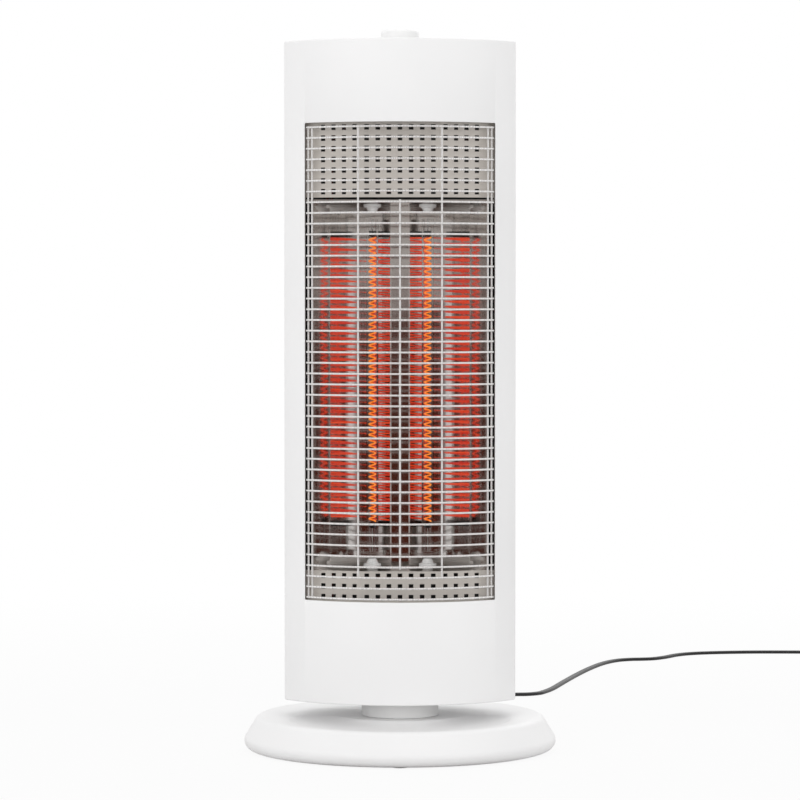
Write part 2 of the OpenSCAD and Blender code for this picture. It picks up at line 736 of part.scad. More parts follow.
trough_steps = 24;
trough_line = [for (i = [-trough_steps : trough_steps]) i * lip_x / trough_steps];

module reflector() color([0.85, 0.85, 0.86]) translate([0, 0, heat_z0])
    linear_extrude(heat_z1 - heat_z0) polygon(concat(
        [[-reflector_x - sheet_t, wing_y + sheet_t / 2], [-reflector_x, wing_y]],
        [for (x = trough_line) [x, trough_y(x)]],
        [[reflector_x, wing_y], [reflector_x + sheet_t, wing_y + sheet_t / 2]],
        [for (i = [len(trough_line) - 1 : -1 : 0])
            [trough_line[i], trough_y(trough_line[i], sheet_t)]]));

module end_plate_outline() {
    difference() {
        translate([-leg_x + lay_gap, wing_y - 4])
            square([2 * (leg_x - lay_gap), shield_y + sheet_t - wing_y + 4]);
        behind(back_y(leg_x, wall + 4), body_back);
    }
    translate([-reflector_x, wing_y])
        square([2 * reflector_x, back_y(reflector_x, wall + 4) - wing_y]);
    intersection() {
        translate([-reflector_x, wing_y]) square([2 * reflector_x, shield_y + sheet_t - wing_y]);
        body_outline(wall + 4);
    }
}

module end_plate() linear_extrude(sheet_t) end_plate_outline();

module reflector_top_plate() color([0.8, 0.8, 0.81]) translate([0, 0, heat_z1]) end_plate();

module reflector_bottom_plate() color([0.8, 0.8, 0.81])
    translate([0, 0, heat_z0 - sheet_t]) end_plate();

shield_x = 58;

module heat_shield() color([0.75, 0.75, 0.77])
    translate([-shield_x, shield_y, heat_z0]) cube([2 * shield_x, sheet_t, heat_z1 - heat_z0]);

flange_h = 3.5;
cap_flange_d = 16;
neck_len = 6.5;
seal_len = 6;
stub_len = 5;
stub_d = coil_d - 1;
end_wire_d = 1;
tube_z0 = heat_z0 + flange_h + neck_len + seal_len;
tube_z1 = heat_z1 - flange_h - neck_len - seal_len;
coil_z0 = tube_z0 + cold_bottom;
coil_z1 = tube_z1 - cold_top;

module quartz_tube() translate([0, 0, tube_z0])
    tube(tube_d, tube_d - 2 * tube_wall, tube_z1 - tube_z0);

module quartz_tube_left() color([0.9, 0.92, 0.94, 0.4]) translate([-tube_x, tube_y, 0]) quartz_tube();
module quartz_tube_right() color([0.9, 0.92, 0.94, 0.4]) translate([tube_x, tube_y, 0]) quartz_tube();

// Carbon coil: one unbroken strand, straight for one diameter at both ends
coil_r = (coil_d - strand_d) / 2;
coil_rings = 8;
coil_sides = 6;
coil_path = concat(
    [[coil_r, 0, coil_z0]],
    [for (i = [0 : coil_turns * coil_rings]) let (a = 360 * i / coil_rings)
        [coil_r * cos(a), coil_r * sin(a), coil_z0 + strand_d
            + (coil_z1 - coil_z0 - 2 * strand_d) * i / (coil_turns * coil_rings)]],
    [[coil_r, 0, coil_z1]]);

function radial(p) = unit([p[0], p[1], 0]);

module filament() {
    last = len(coil_path) - 1;
    rings = [for (i = [0 : last]) let (
            t = i == 0 || i == last ? [0, 0, 1] : heading(coil_path, i),
            u = radial(coil_path[i]))
        ring(coil_path[i], u * strand_d / 2, cross(t, u) * strand_d / 2, coil_sides)];
    echo(str("least gap of the carbon coil to itself: ",
        least_gap(coil_path, coil_rings - 1) - strand_d));
    swept(rings);
}

module filament_left() color([0.98, 0.45, 0.12]) translate([-tube_x, tube_y, 0]) filament();
module filament_right() color([0.98, 0.45, 0.12]) translate([tube_x, tube_y, 0]) filament();

module filament_ends() color([0.08, 0.08, 0.08])
    for (s = [-1, 1]) translate([s * tube_x, tube_y, 0]) {
        translate([0, 0, coil_z0 - stub_len])
            cylinder(d = stub_d, h = stub_len, $fn = small_fn);
        translate([0, 0, coil_z1]) cylinder(d = stub_d, h = stub_len, $fn = small_fn);
        translate([0, 0, tube_z0])
            cylinder(d = end_wire_d, h = coil_z0 - stub_len - tube_z0, $fn = small_fn);
        translate([0, 0, coil_z1 + stub_len])
            cylinder(d = end_wire_d, h = tube_z1 - coil_z1 - stub_len, $fn = small_fn);
    }

module tube_seals() color([0.88, 0.9, 0.92])
    for (s = [-1, 1], z = [tube_z0 - seal_len, tube_z1])
        translate([s * tube_x, tube_y, z + seal_len / 2]) cube([tube_d - 1, 3, seal_len], center = true);

// A foot on the end plate, a flange a little above it, and a neck that narrows to the seal
flange_lift = 1.8;
cap_top_d = 7;

module ceramic_cap() {
    cylinder(d = tube_d - 1, h = flange_lift + 1, $fn = small_fn);
    translate([0, 0, flange_lift]) cylinder(d = cap_flange_d, h = flange_h, $fn = small_fn);
    translate([0, 0, flange_lift + flange_h])
        cylinder(d1 = tube_d, d2 = cap_top_d, h = neck_len - flange_lift, $fn = small_fn);
}

module ceramic_caps() color([0.96, 0.96, 0.94])
    for (s = [-1, 1]) translate([s * tube_x, tube_y, 0]) {
        translate([0, 0, heat_z0]) ceramic_cap();
        translate([0, 0, heat_z1]) mirror([0, 0, 1]) ceramic_cap();
    }

cutout_drop = 40;
cutout_d = 16;
cutout_h = 5;

module thermal_cutout() color([0.15, 0.15, 0.16])
    translate([0, shield_y + sheet_t, heat_z1 - cutout_drop]) rotate([-90, 0, 0]) {
        cylinder(d = cutout_d, h = cutout_h, $fn = small_fn);
        cylinder(d = cutout_d / 2, h = cutout_h + 2, $fn = small_fn);
    }

block_at = [-78, -14, floor_z];
block_box = [30, 18, 14];
block_pitch = 9.5;

module terminal_block() color([0.92, 0.92, 0.9]) translate(block_at) difference() {
    cube(block_box);
    for (i = [-1 : 1]) translate([block_box[0] / 2 + i * block_pitch, block_box[1] / 2, 5])
        cylinder(d = 4, h = block_box[2], $fn = small_fn);
}

// Insulated leads from the terminal block up behind the heating unit to the switch
lead_d = 2.4;
lead_x = -66;
lead_y = back_y(lead_x, wall) - 3;
lead_rise = 6;
lead_run = 40;
lead_drop = 60;
lead_pitch = 4;
lead_end = [-9, 6, 8];

module rod(a, b, d) {
    v = b - a;
    translate(a) rotate([0, acos(v[2] / norm(v)), atan2(v[1], v[0])])
        cylinder(d = d, h = norm(v), $fn = small_fn);
}

// A lead that starts and ends upright, and never runs level
module lead(points) {
    last = len(points) - 1;
    swept([for (i = [0 : last]) let (
            t = i == 0 || i == last ? [0, 0, 1] : heading(points, i),
            u = unit(cross(t, [0, 1, 0])))
        ring(points[i], u * lead_d / 2, cross(u, t) * lead_d / 2, 8)]);
}

block_top = floor_z + block_box[2];
switch_z1 = body_z1 - cap_t;
switch_side = 34;
switch_h = 24;

module heater_leads() color([0.75, 0.2, 0.15])
    for (i = [0, 1]) let (x = lead_x + i * lead_pitch, end = lead_end[0] + i * lead_pitch * 1.25,
            z0 = block_top, z1 = switch_z1 - switch_h)
        lead([[x, 0, z0], [x, 0, z0 + lead_rise], [x, lead_y - 2, z0 + lead_run],
            [x, lead_y, z0 + lead_run + lead_rise], [x, lead_y, z1 - lead_drop],
            [end, lead_end[1], z1 - lead_end[2]], [end, lead_end[1], z1]]);

// Rotary switch under the top cap, and its knob
bush_d = 9;

module rotary_switch() color([0.2, 0.2, 0.21]) difference() {
    union() {
        translate([-switch_side / 2, -switch_side / 2, switch_z1 - switch_h])
            cube([switch_side, switch_side, switch_h]);
        translate([0, 0, switch_z1 - 1]) cylinder(d = bush_d, h = cap_t + 3.5, $fn = small_fn);
    }
    translate([0, 0, switch_z1 - shaft_in - 1])
        cylinder(d = shaft_d + 2 * swivel_fit, h = 2 * switch_h, $fn = round_fn);
}

module switch_nut() color([0.75, 0.75, 0.77]) translate([0, 0, body_z1]) difference() {
    cylinder(d = 13, h = 2, $fn = 6);
    translate([0, 0, -1]) cylinder(d = bush_d + 0.1, h = 5, $fn = small_fn);
}

knob_z0 = body_z1 + knob_gap;
knob_edge = 2.6;
knob_roof = 2.5;
shaft_in = 11;

module switch_shaft() color([0.7, 0.7, 0.72]) translate([0, 0, switch_z1 - shaft_in])
    cylinder(d = shaft_d, h = knob_z0 + knob_h - knob_roof - switch_z1 + shaft_in, $fn = round_fn);

// Low round knob with a rounded upper edge
module knob() color([0.93, 0.93, 0.92]) translate([0, 0, knob_z0]) difference() {
    rotate_extrude($fn = round_fn) {
        square([knob_d / 2 - knob_edge, knob_h]);
        square([knob_d / 2, knob_h - knob_edge]);
        translate([knob_d / 2 - knob_edge, knob_h - knob_edge])
            intersection() {
                circle(r = knob_edge, $fn = small_fn);
                square([knob_edge, knob_edge]);
            }
    }
    translate([0, 0, -1]) cylinder(d = 16, h = 5, $fn = round_fn);
    translate([0, 0, -1])
        cylinder(d = shaft_d + 0.1, h = knob_h - knob_roof + 1.1, $fn = round_fn);
}

// Cord: gland in the base's rear wall, a free stretch on the floor, a stored coil and a plug

gland_tip_d = 9;
gland_in = base_r - base_wall - 6.8;
gland_out = base_r + 0.3;
gland_flange_h = 2.2;
gland_len = 30;

module cord_gland() color([0.08, 0.08, 0.08]) translate([0, 0, gland_z]) rotate([-90, 0, 0]) {
    translate([0, 0, gland_in]) cylinder(d = 12, h = gland_flange_h, $fn = small_fn);
    translate([0, 0, gland_in])
        cylinder(d = gland_hole_d - 0.2, h = gland_out - gland_in + 1, $fn = small_fn);
    translate([0, 0, gland_out]) cylinder(d = 14, h = gland_flange_h, $fn = small_fn);
    translate([0, 0, gland_out + gland_flange_h])
        cylinder(d1 = 12, d2 = gland_tip_d, h = gland_len, $fn = small_fn);
}

// Points down the middle of the cord, from the gland's tip along the floor, chosen by hand
CORD = [
    [0, 172.5, 10.5], [0, 182, 10.4], [1, 200, 7.6], [5, 222, 3.2], [13, 246, 1.9], [27, 280, 1.9],
    [46, 318, 1.9], [67, 352, 1.9], [84, 375, 1.9], [97, 390, 1.9], [107, 398.5, 1.9],
    [118, 402, 1.9], [127.3, 402.8, 1.9], [134.7, 406, 1.9], [141, 411.5, 1.9],
    [145.7, 419.7, 1.9], [157, 452, 1.9], [172, 514, 1.9], [189, 582, 1.9], [206, 643, 1.9],
    [223, 693, 1.9], [240, 724, 1.9], [256, 736, 1.9], [270, 739, 1.9], [283, 744, 1.9],
    [297, 759, 1.9], [313, 784, 1.9], [333, 800, 1.9], [364, 810, 1.9], [403, 815, 1.9],
    [440, 815, 1.9], [472, 814, 1.9], [500, 814, 1.9]
];
cord_floor = 1.9;

function between(p, i, t) = let (
        a = p[max(i - 1, 0)], b = p[i], c = p[i + 1], d = p[min(i + 2, len(p) - 1)])
    0.5 * (2 * b + (c - a) * t + (2 * a - 5 * b + 4 * c - d) * t * t
        + (3 * b - a - 3 * c + d) * t * t * t);
cord_steps = 2;
cord_path = concat(
    [for (i = [0 : len(CORD) - 2]) for (k = [0 : cord_steps - 1]) between(CORD, i, k / cord_steps)],
    [CORD[len(CORD) - 1]]);

// A flat cord's ring: wide across its run, thin upwards
function flat_ring(p, t, sides) = let (u = unit(cross(t, [0, 0, 1])), v = cross(u, t))
    ring(p, u * cord_w / 2, v * cord_t / 2, sides);

module cord_free() color([0.06, 0.06, 0.06]) {
    last = len(cord_path) - 1;
    swept([for (i = [0 : last]) let (
            t = i == 0 ? [0, 1, 0] : i == last ? [1, 0, 0] : heading(cord_path, i))
        flat_ring(cord_path[i], t, 8)]);
}

// The stored coil winds in on the floor, climbs a layer as it turns back, and winds out again
coil_start = CORD[len(CORD) - 1];
coil_out_r = 41;
coil_step = cord_w + 1;
layer_h = cord_t + 0.7;
loop_rings = 24;
coil_mid = coil_start + [cord_w, coil_out_r, 0];
wind = loop_rings * coil_loops;
half = loop_rings / 2;
tail_steps = 4;
tail_step = 16;

function coil_at(i) = let (
        a = -90 + 360 * i / loop_rings,
        turned = i <= wind ? i : i <= wind + half ? wind : 2 * wind + half - i,
        up = i <= wind ? 0 : i <= wind + half ? (1 - cos(180 * (i - wind) / half)) / 2 : 1,
        r = coil_out_r - coil_step * turned / loop_rings)
    coil_mid + [r * cos(a), r * sin(a), layer_h * up];

coil_count = 2 * wind + half;
coil_last = coil_at(coil_count);
coil_out = unit(coil_last - coil_at(coil_count - 1));
stored_path = concat(
    [coil_start],
    [for (i = [0 : coil_count]) coil_at(i)],
    [for (k = [1 : tail_steps]) coil_last + coil_out * tail_step * k]);

module cord_coil() color([0.06, 0.06, 0.06]) {
    last = len(stored_path) - 1;
    echo(str("least gap of the stored cord to itself: ",
        least_gap(stored_path, half) - cord_t, " mm, length ",
        path_length(stored_path), " mm, free stretch ", path_length(cord_path), " mm"));
    swept([for (i = [0 : last]) let (
            t = i == 0 ? [1, 0, 0] : i == last ? coil_out : heading(stored_path, i))
        flat_ring(stored_path[i], t, 6)]);
}

function path_length(p) = norm_sum([for (i = [1 : len(p) - 1]) norm(p[i] - p[i - 1])]);
function norm_sum(v, i = 0) = i < len(v) ? v[i] + norm_sum(v, i + 1) : 0;

// Wire tie over both layers, with its two legs on the floor
tie_turn = 200;
tie_span = [30.9, 41.6];
tie_top = cord_floor + layer_h + cord_t / 2 + 0.2;
tie_t = 1;
tie_w = 3;

module cord_tie() color([0.1, 0.1, 0.1])
    translate([coil_mid[0], coil_mid[1], 0]) rotate([0, 0, tie_turn]) difference() {
        translate([tie_span[0] - tie_t, -tie_w / 2, 0])
            cube([tie_span[1] - tie_span[0] + 2 * tie_t, tie_w, tie_top + tie_t]);
        translate([tie_span[0], -tie_w, -1])
            cube([tie_span[1] - tie_span[0], 2 * tie_w, tie_top + 1]);
    }

// Plug with two flat blades, lying where the stored cord ends
plug_len = 30;
plug_w = 24;
plug_neck = 12;
plug_at = stored_path[len(stored_path) - 1];
plug_t = 2 * plug_at[2];
blade = [17, 1.5, 6.3];
blade_pitch = 12.7;

module at_plug() translate([plug_at[0], plug_at[1], 0])
    rotate([0, 0, atan2(coil_out[1], coil_out[0])]) children();

module plug_body() color([0.06, 0.06, 0.06]) at_plug() {
    translate([0, 0, plug_at[2]]) rotate([0, 90, 0])
        cylinder(d1 = 8, d2 = 11, h = plug_neck, $fn = small_fn);
    translate([plug_neck, -plug_w / 2, 0]) cube([plug_len - plug_neck, plug_w, plug_t]);
}

module plug_blades() color([0.8, 0.8, 0.78]) at_plug()
    for (s = [-1, 1])
        translate([plug_len, (s * blade_pitch - blade[1]) / 2, plug_at[2] - blade[2] / 2])
            cube(blade);

inner_lead_d = 4.6;

module inner_lead() color([0.08, 0.08, 0.08]) {
    rod([0, gland_in, gland_z], [0, 0, gland_z], inner_lead_d);
    translate([0, 0, gland_z]) sphere(d = inner_lead_d, $fn = small_fn);
    rod([0, 0, gland_z], [0, 0, post_top - 2], inner_lead_d);
}

base_shell();
base_plate();
ballast_plate();
rubber_feet();
swivel_post();
thrust_washer();
retaining_ring();
swing_arm();
tip_switch();
base_screws();
post_screws();
cord_gland();
inner_lead();
cord_free();
cord_coil();
cord_tie();
plug_body();
plug_blades();
tip_plunger();
front_panel();
rear_cover();
top_cap();
bottom_cap();
swivel_collar();
bearing_ring();
collar_screws();
rear_screws();
guard_wires();
guard_uprights();
guard_side_strips();
upper_vent_plate();
lower_vent_plate();
reflector();
reflector_top_plate();
reflector_bottom_plate();
heat_shield();
quartz_tube_left();
quartz_tube_right();
filament_left();
filament_right();
filament_ends();
tube_seals();
ceramic_caps();
thermal_cutout();
terminal_block();
heater_leads();
motor_bracket();
swing_motor();
rotary_switch();
switch_nut();
knob();
switch_shaft();
crank_arm();
motor_shaft();
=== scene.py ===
# %% [markdown]
# An upright carbon heater: two glowing coils in quartz tubes, in front of a polished double
# trough, behind a wire guard, in a white column that swings on a round weighted base.
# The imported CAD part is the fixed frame. This lesson dresses it: it rebuilds the pieces whose
# edges and roundings matter to the eye, and gives every piece its finish.
# Blender counts in metres. Most shapes are drawn in millimetres, and MM turns those into metres.

import json
import math

import bmesh
import bpy
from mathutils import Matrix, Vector


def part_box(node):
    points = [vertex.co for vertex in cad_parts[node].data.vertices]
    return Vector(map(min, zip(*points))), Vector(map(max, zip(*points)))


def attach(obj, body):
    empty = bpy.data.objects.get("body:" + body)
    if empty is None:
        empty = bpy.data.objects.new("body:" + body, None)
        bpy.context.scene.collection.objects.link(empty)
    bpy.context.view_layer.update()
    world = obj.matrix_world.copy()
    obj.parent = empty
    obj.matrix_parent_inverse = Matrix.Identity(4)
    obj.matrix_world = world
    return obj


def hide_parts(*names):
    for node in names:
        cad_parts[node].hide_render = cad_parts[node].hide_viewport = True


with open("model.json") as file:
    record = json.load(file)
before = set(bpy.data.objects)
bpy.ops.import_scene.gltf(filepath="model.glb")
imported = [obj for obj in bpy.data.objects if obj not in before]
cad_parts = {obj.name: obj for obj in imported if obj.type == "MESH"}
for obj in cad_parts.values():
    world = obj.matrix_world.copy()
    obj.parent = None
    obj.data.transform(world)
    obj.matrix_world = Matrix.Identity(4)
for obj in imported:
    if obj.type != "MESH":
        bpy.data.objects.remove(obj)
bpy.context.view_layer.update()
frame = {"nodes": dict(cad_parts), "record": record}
nodes = frame["nodes"]
MM = 0.001

# %% [markdown]
# The photograph was taken with a long lens, a little above the heater's middle and looking
# slightly down. The camera comes first, because everything is judged through it.

# %% Camera
CAMERA_BACK, CAMERA_UP, LOOK_DOWN = 3.09, 0.4105, 1.786
LENS, SENSOR = 154.9, 36
bpy.ops.object.camera_add(
    location=(0, -CAMERA_BACK, CAMERA_UP), rotation=(math.radians(90 - LOOK_DOWN), 0, 0)
)
camera = bpy.context.object
camera.data.lens = LENS
camera.data.sensor_width = SENSOR
bpy.context.scene.camera = camera
bpy.context.scene.view_settings.view_transform = "Standard"
print("camera at", tuple(camera.location), "lens", camera.data.lens)

# %% [markdown]
# Helpers that stand for a hand at the mouse: take one object, pick some of its faces, edges or
# points by where they are, move, resize or extrude them, pull a line from point to point, turn
# it round an axis, and apply a modifier. Every shape below is made with them.


# %% Take and pick
def only(obj):
    """Leaves edit mode and makes this the one selected object."""
    if bpy.context.object and bpy.context.object.mode != "OBJECT":
        bpy.ops.object.mode_set(mode="OBJECT")
    bpy.ops.object.select_all(action="DESELECT")
    obj.select_set(True)
    bpy.context.view_layer.objects.active = obj
    return obj


def edit(obj):
    """Enters edit mode with the object's own place worked into its mesh."""
    only(obj)
    bpy.ops.object.transform_apply(location=True, rotation=True, scale=True)
    bpy.ops.object.mode_set(mode="EDIT")
    bpy.ops.mesh.select_mode(type="VERT")
    bpy.ops.mesh.select_all(action="SELECT")
    return obj


def middle(part):
    """The middle of a point, an edge or a face."""
    if hasattr(part, "co"):
        return part.co
    return sum((v.co for v in part.verts), Vector()) / len(part.verts)


def pick(kind, test):
    """In edit mode, selects the points, edges or faces that pass the test."""
    bpy.ops.mesh.select_mode(type=kind)
    bpy.ops.mesh.select_all(action="DESELECT")
    shape = bmesh.from_edit_mesh(bpy.context.object.data)
    parts = {"VERT": shape.verts, "EDGE": shape.edges, "FACE": shape.faces}[kind]
    found = [p for p in parts if test(p)]
    for p in found:
        p.select_set(True)
    shape.select_flush_mode()
    bmesh.update_edit_mesh(bpy.context.object.data)
    return len(found)


# %% Move, resize and extrude what is selected
def move(by):
    bpy.ops.transform.translate(value=by)


def resize(factors, centre=(0, 0, 0)):
    bpy.ops.transform.resize(value=factors, center_override=centre)


def extrude(by):
    bpy.ops.mesh.extrude_region_move(TRANSFORM_OT_translate={"value": by})


# %% Draw a line, pull it up and turn it
MERGE = 0.00001


def drawn_line(points, closed=False):
    """A chain of edges: one point of a small plane, pulled from place to place."""
    bpy.ops.mesh.primitive_plane_add(size=MM, location=points[0])
    obj = edit(bpy.context.object)
    bpy.ops.mesh.merge(type="CENTER")
    for a, b in zip(points, points[1:]):
        bpy.ops.mesh.extrude_vertices_move(
            TRANSFORM_OT_translate={"value": Vector(b) - Vector(a)}
        )
    if closed:
        bpy.ops.mesh.select_all(action="SELECT")
        bpy.ops.mesh.edge_face_add()
    return obj


def pulled_up(obj, height):
    """Pulls a whole outline straight up by a height in millimetres."""
    bpy.ops.mesh.select_all(action="SELECT")
    extrude((0, 0, height * MM))
    return obj


def cleaned(obj):
    """Merges doubles and turns every face outwards."""
    edit(obj)
    bpy.ops.mesh.remove_doubles(threshold=MERGE)
    bpy.ops.mesh.select_all(action="SELECT")
    bpy.ops.mesh.normals_make_consistent(inside=False)
    return only(obj)


def turned(half_section, steps=128):
    """A half section, as (radius, height) pairs, turned round the vertical axis."""
    obj = drawn_line([(r, 0, z) for r, z in half_section])
    bpy.ops.mesh.select_all(action="SELECT")
    bpy.ops.mesh.spin(steps=steps, angle=math.tau, center=(0, 0, 0), axis=(0, 0, 1))
    return cleaned(obj)


def applied(obj, kind, **settings):
    """Adds a modifier with these settings and applies it."""
    only(obj)
    modifier = obj.modifiers.new(kind.title(), kind)
    for name, value in settings.items():
        setattr(modifier, name, value)
    bpy.ops.object.modifier_apply(modifier=modifier.name)
    return obj


def joined(first, *others):
    """Joins objects into the first of them."""
    only(first)
    for o in others:
        o.select_set(True)
    bpy.ops.object.join()
    return first


def soft_edges(obj, width, angle, segments=2):
    """Rounds every edge that is sharper than an angle in radians. The width is in millimetres."""
    return applied(obj, "BEVEL", width=width * MM, segments=segments, limit_method="ANGLE",
                   angle_limit=angle)


def even_shading(obj):
    """Lets the large faces lead the shading beside their rounded edges."""
    return applied(obj, "WEIGHTED_NORMAL", mode="FACE_AREA", weight=80, keep_sharp=True)


# %% Arcs and units
def arc(cx, cy, radius, start, end, steps):
    """Points on an arc, from one angle to another in degrees."""
    turns = [math.radians(start + (end - start) * i / steps) for i in range(steps + 1)]
    return [(cx + radius * math.cos(a), cy + radius * math.sin(a)) for a in turns]


def in_mm(points):
    return [tuple(v * MM for v in p) for p in points]


# %% Finish a piece
def settle(obj, name, body, slot, replaced, angle=35, finish=None):
    """Gives a piece its smooth faces, its finish, its body and the nodes it stands for."""
    only(obj)
    bpy.ops.object.shade_smooth_by_angle(angle=math.radians(angle))
    obj.name = obj.data.name = name
    obj.data.materials.clear()
    obj.data.materials.append(FINISHES[finish or slot])
    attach(obj, body)
    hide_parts(*replaced)
    low = [min(v.co[k] for v in obj.data.vertices) / MM for k in range(3)]
    high = [max(v.co[k] for v in obj.data.vertices) / MM for k in range(3)]
    print(f"{name}: {len(obj.data.polygons)} faces, from {[round(v, 1) for v in low]} "
          f"to {[round(v, 1) for v in high]} mm")
    return obj


# %% [markdown]
# Finishes. A moulded plastic isn't one flat colour: its skin has a fine spark-eroded grain, and
# its tone and gloss drift a little over a large face. A rolled sheet has fine lines along the
# rolling direction and a slight waviness. Both effects serve several materials, so each is a
# node group that puts out only a height and masks, and the shader stays in the material.


# %% Node helpers
MIX_SHARE, MIX_A, MIX_B, MIX_OUT = 0, 6, 7, 2  # the sockets of a Mix node for colours
PLAIN_GREY, PLAIN_WHITE = (0.5, 0.5, 0.5), (1, 1, 1)


def add_node(tree, kind, **values):
    """Adds a node, and sets its inputs or its own settings by name."""
    node = tree.nodes.new(kind)
    for name, value in values.items():
        if hasattr(node, name):
            setattr(node, name, value)
        else:
            node.inputs[name.replace("_", " ")].default_value = value
    return node


def link_all(tree, links):
    """Joins nodes. A link is a node and its output, then the node and the input it feeds."""
    for source, output, target, entry in links:
        tree.links.new(source.outputs[output], target.inputs[entry])


def math_node(tree, operation, second=0.5):
    """Reckons with two values. The second is this number unless a link feeds it."""
    node = add_node(tree, "ShaderNodeMath", operation=operation)
    node.inputs[1].default_value = second
    return node


def map_range(tree, low, high, to_low=0.0, to_high=1.0):
    """Stretches the range low to high to the range to_low to to_high."""
    return add_node(tree, "ShaderNodeMapRange", From_Min=low, From_Max=high, To_Min=to_low,
                    To_Max=to_high)


def colour_mix(tree, first=PLAIN_GREY, second=PLAIN_GREY):
    """Mixes two colours. Each is this plain tone unless a link feeds it."""
    node = add_node(tree, "ShaderNodeMix", data_type="RGBA")
    for socket, tone in ((MIX_A, first), (MIX_B, second)):
        node.inputs[socket].default_value = (*tone, 1)
    return node


def new_group(name, inputs, outputs):
    tree = bpy.data.node_groups.new(name, "ShaderNodeTree")
    for label, value in inputs.items():
        socket = tree.interface.new_socket(label, in_out="INPUT", socket_type="NodeSocketFloat")
        socket.default_value = value
    for label in outputs:
        tree.interface.new_socket(label, in_out="OUTPUT", socket_type="NodeSocketFloat")
    return tree, tree.nodes.new("NodeGroupInput"), tree.nodes.new("NodeGroupOutput")


# %% Grain of moulded plastic
GRAIN_SIZE, GRAIN_DEPTH = 900.0, 0.00002


def moulded_grain_group():
    tree, given, out = new_group(
        "moulded_grain", {"Size": GRAIN_SIZE, "Drift": 9.0}, ["Height", "Tone"])
    place = add_node(tree, "ShaderNodeTexCoord")
    fine = add_node(tree, "ShaderNodeTexNoise", Detail=2.0, Roughness=0.6)
    broad = add_node(tree, "ShaderNodeTexNoise", Detail=1.0, Roughness=0.4)
    link_all(tree, [
        (place, "Object", fine, "Vector"),
        (place, "Object", broad, "Vector"),
        (given, "Size", fine, "Scale"),
        (given, "Drift", broad, "Scale"),
        (fine, "Fac", out, "Height"),
        (broad, "Fac", out, "Tone"),
    ])
    return tree


# %% Lines of rolled sheet
def rolled_sheet_group():
    tree, given, out = new_group(
        "rolled_sheet", {"Across": 1500.0, "Along": 12.0, "Wave": 30.0}, ["Lines", "Wave"])
    place = add_node(tree, "ShaderNodeTexCoord")
    stretch = add_node(tree, "ShaderNodeCombineXYZ")
    mapping = add_node(tree, "ShaderNodeVectorMath", operation="MULTIPLY")
    lines = add_node(tree, "ShaderNodeTexNoise", Scale=1.0, Detail=2.0)
    wave = add_node(tree, "ShaderNodeTexNoise", Detail=1.0, Roughness=0.35)
    link_all(tree, [
        (given, "Across", stretch, "X"),
        (given, "Across", stretch, "Y"),
        (given, "Along", stretch, "Z"),
        (place, "Object", mapping, 0),
        (stretch, "Vector", mapping, 1),
        (mapping, "Vector", lines, "Vector"),
        (place, "Object", wave, "Vector"),
        (given, "Wave", wave, "Scale"),
        (lines, "Fac", out, "Lines"),
        (wave, "Fac", out, "Wave"),
    ])
    return tree


moulded_grain = moulded_grain_group()
rolled_sheet = rolled_sheet_group()
print("groups", moulded_grain.name, rolled_sheet.name)


# %% Build a material from an effect
NOISE_LOW, NOISE_HIGH = 0.3, 0.7  # nearly all of a noise lies between these
GLOSS_DRIFT, LINE_GLOSS = 0.03, 0.2


FINISHES = {}  # every material, by its name


def new_material(name, **shader):
    """Makes a material with a Principled shader, whose plain inputs are given by name."""
    material = FINISHES[name] = bpy.data.materials.new(name)
    material.use_nodes = True
    principled = material.node_tree.nodes["Principled BSDF"]
    for label, value in shader.items():
        principled.inputs[label.replace("_", " ")].default_value = value
    return material.node_tree, principled


def placed_group(tree, group, **values):
    node = tree.nodes.new("ShaderNodeGroup")
    node.node_tree = group
    for label, value in values.items():
        node.inputs[label].default_value = value
    return node


def spread(tree, source, low, high, target):
    """Stretches a noise to the range low to high, and feeds it to an input."""
    node = map_range(tree, NOISE_LOW, NOISE_HIGH, low, high)
    tree.links.new(source, node.inputs["Value"])
    tree.links.new(node.outputs["Result"], target)


def tinted(tree, source, dark, light, target):
    """Runs from one colour to another with a mask, and feeds it to a colour input."""
    node = add_node(tree, "ShaderNodeValToRGB")
    ramp = node.color_ramp.elements
    ramp[0].position, ramp[1].position = NOISE_LOW, NOISE_HIGH
    ramp[0].color, ramp[1].color = (*dark, 1), (*light, 1)
    tree.links.new(source, node.inputs["Fac"])
    tree.links.new(node.outputs["Color"], target)


def bumped(tree, source, depth, principled):
    node = add_node(tree, "ShaderNodeBump", Strength=1.0, Distance=depth)
    tree.links.new(source, node.inputs["Height"])
    tree.links.new(node.outputs["Normal"], principled.inputs["Normal"])


def plastic(name, colour, roughness, grain=GRAIN_DEPTH, size=GRAIN_SIZE, drift=0.03, **shader):
    """Moulded plastic or rubber: fine grain, and a tone that drifts a little."""
    tree, principled = new_material(name, **shader)
    effect = placed_group(tree, moulded_grain, Size=size)
    low = [c * (1 - drift) for c in colour]
    tinted(tree, effect.outputs["Tone"], low, colour, principled.inputs["Base Color"])
    spread(tree, effect.outputs["Tone"], roughness - GLOSS_DRIFT, roughness + GLOSS_DRIFT,
           principled.inputs["Roughness"])
    bumped(tree, effect.outputs["Height"], grain, principled)


def sheet_metal(name, colour, roughness, wave=30.0, depth=0.00003, metallic=1.0, lines=0.06):
    """Rolled sheet or drawn wire: fine lines in its gloss and a slight waviness."""
    tree, principled = new_material(name, Metallic=metallic)
    effect = placed_group(tree, rolled_sheet, Wave=wave)
    low = [c * (1 - lines) for c in colour]
    tinted(tree, effect.outputs["Lines"], low, colour, principled.inputs["Base Color"])
    spread(tree, effect.outputs["Lines"], roughness * (1 - LINE_GLOSS),
           roughness * (1 + LINE_GLOSS), principled.inputs["Roughness"])
    bumped(tree, effect.outputs["Wave"], depth, principled)


# %% [markdown]
# The white housing is satin ABS. The knob and the collar are the same plastic in slightly
# different tones, and the cord, feet and switch cases are black.

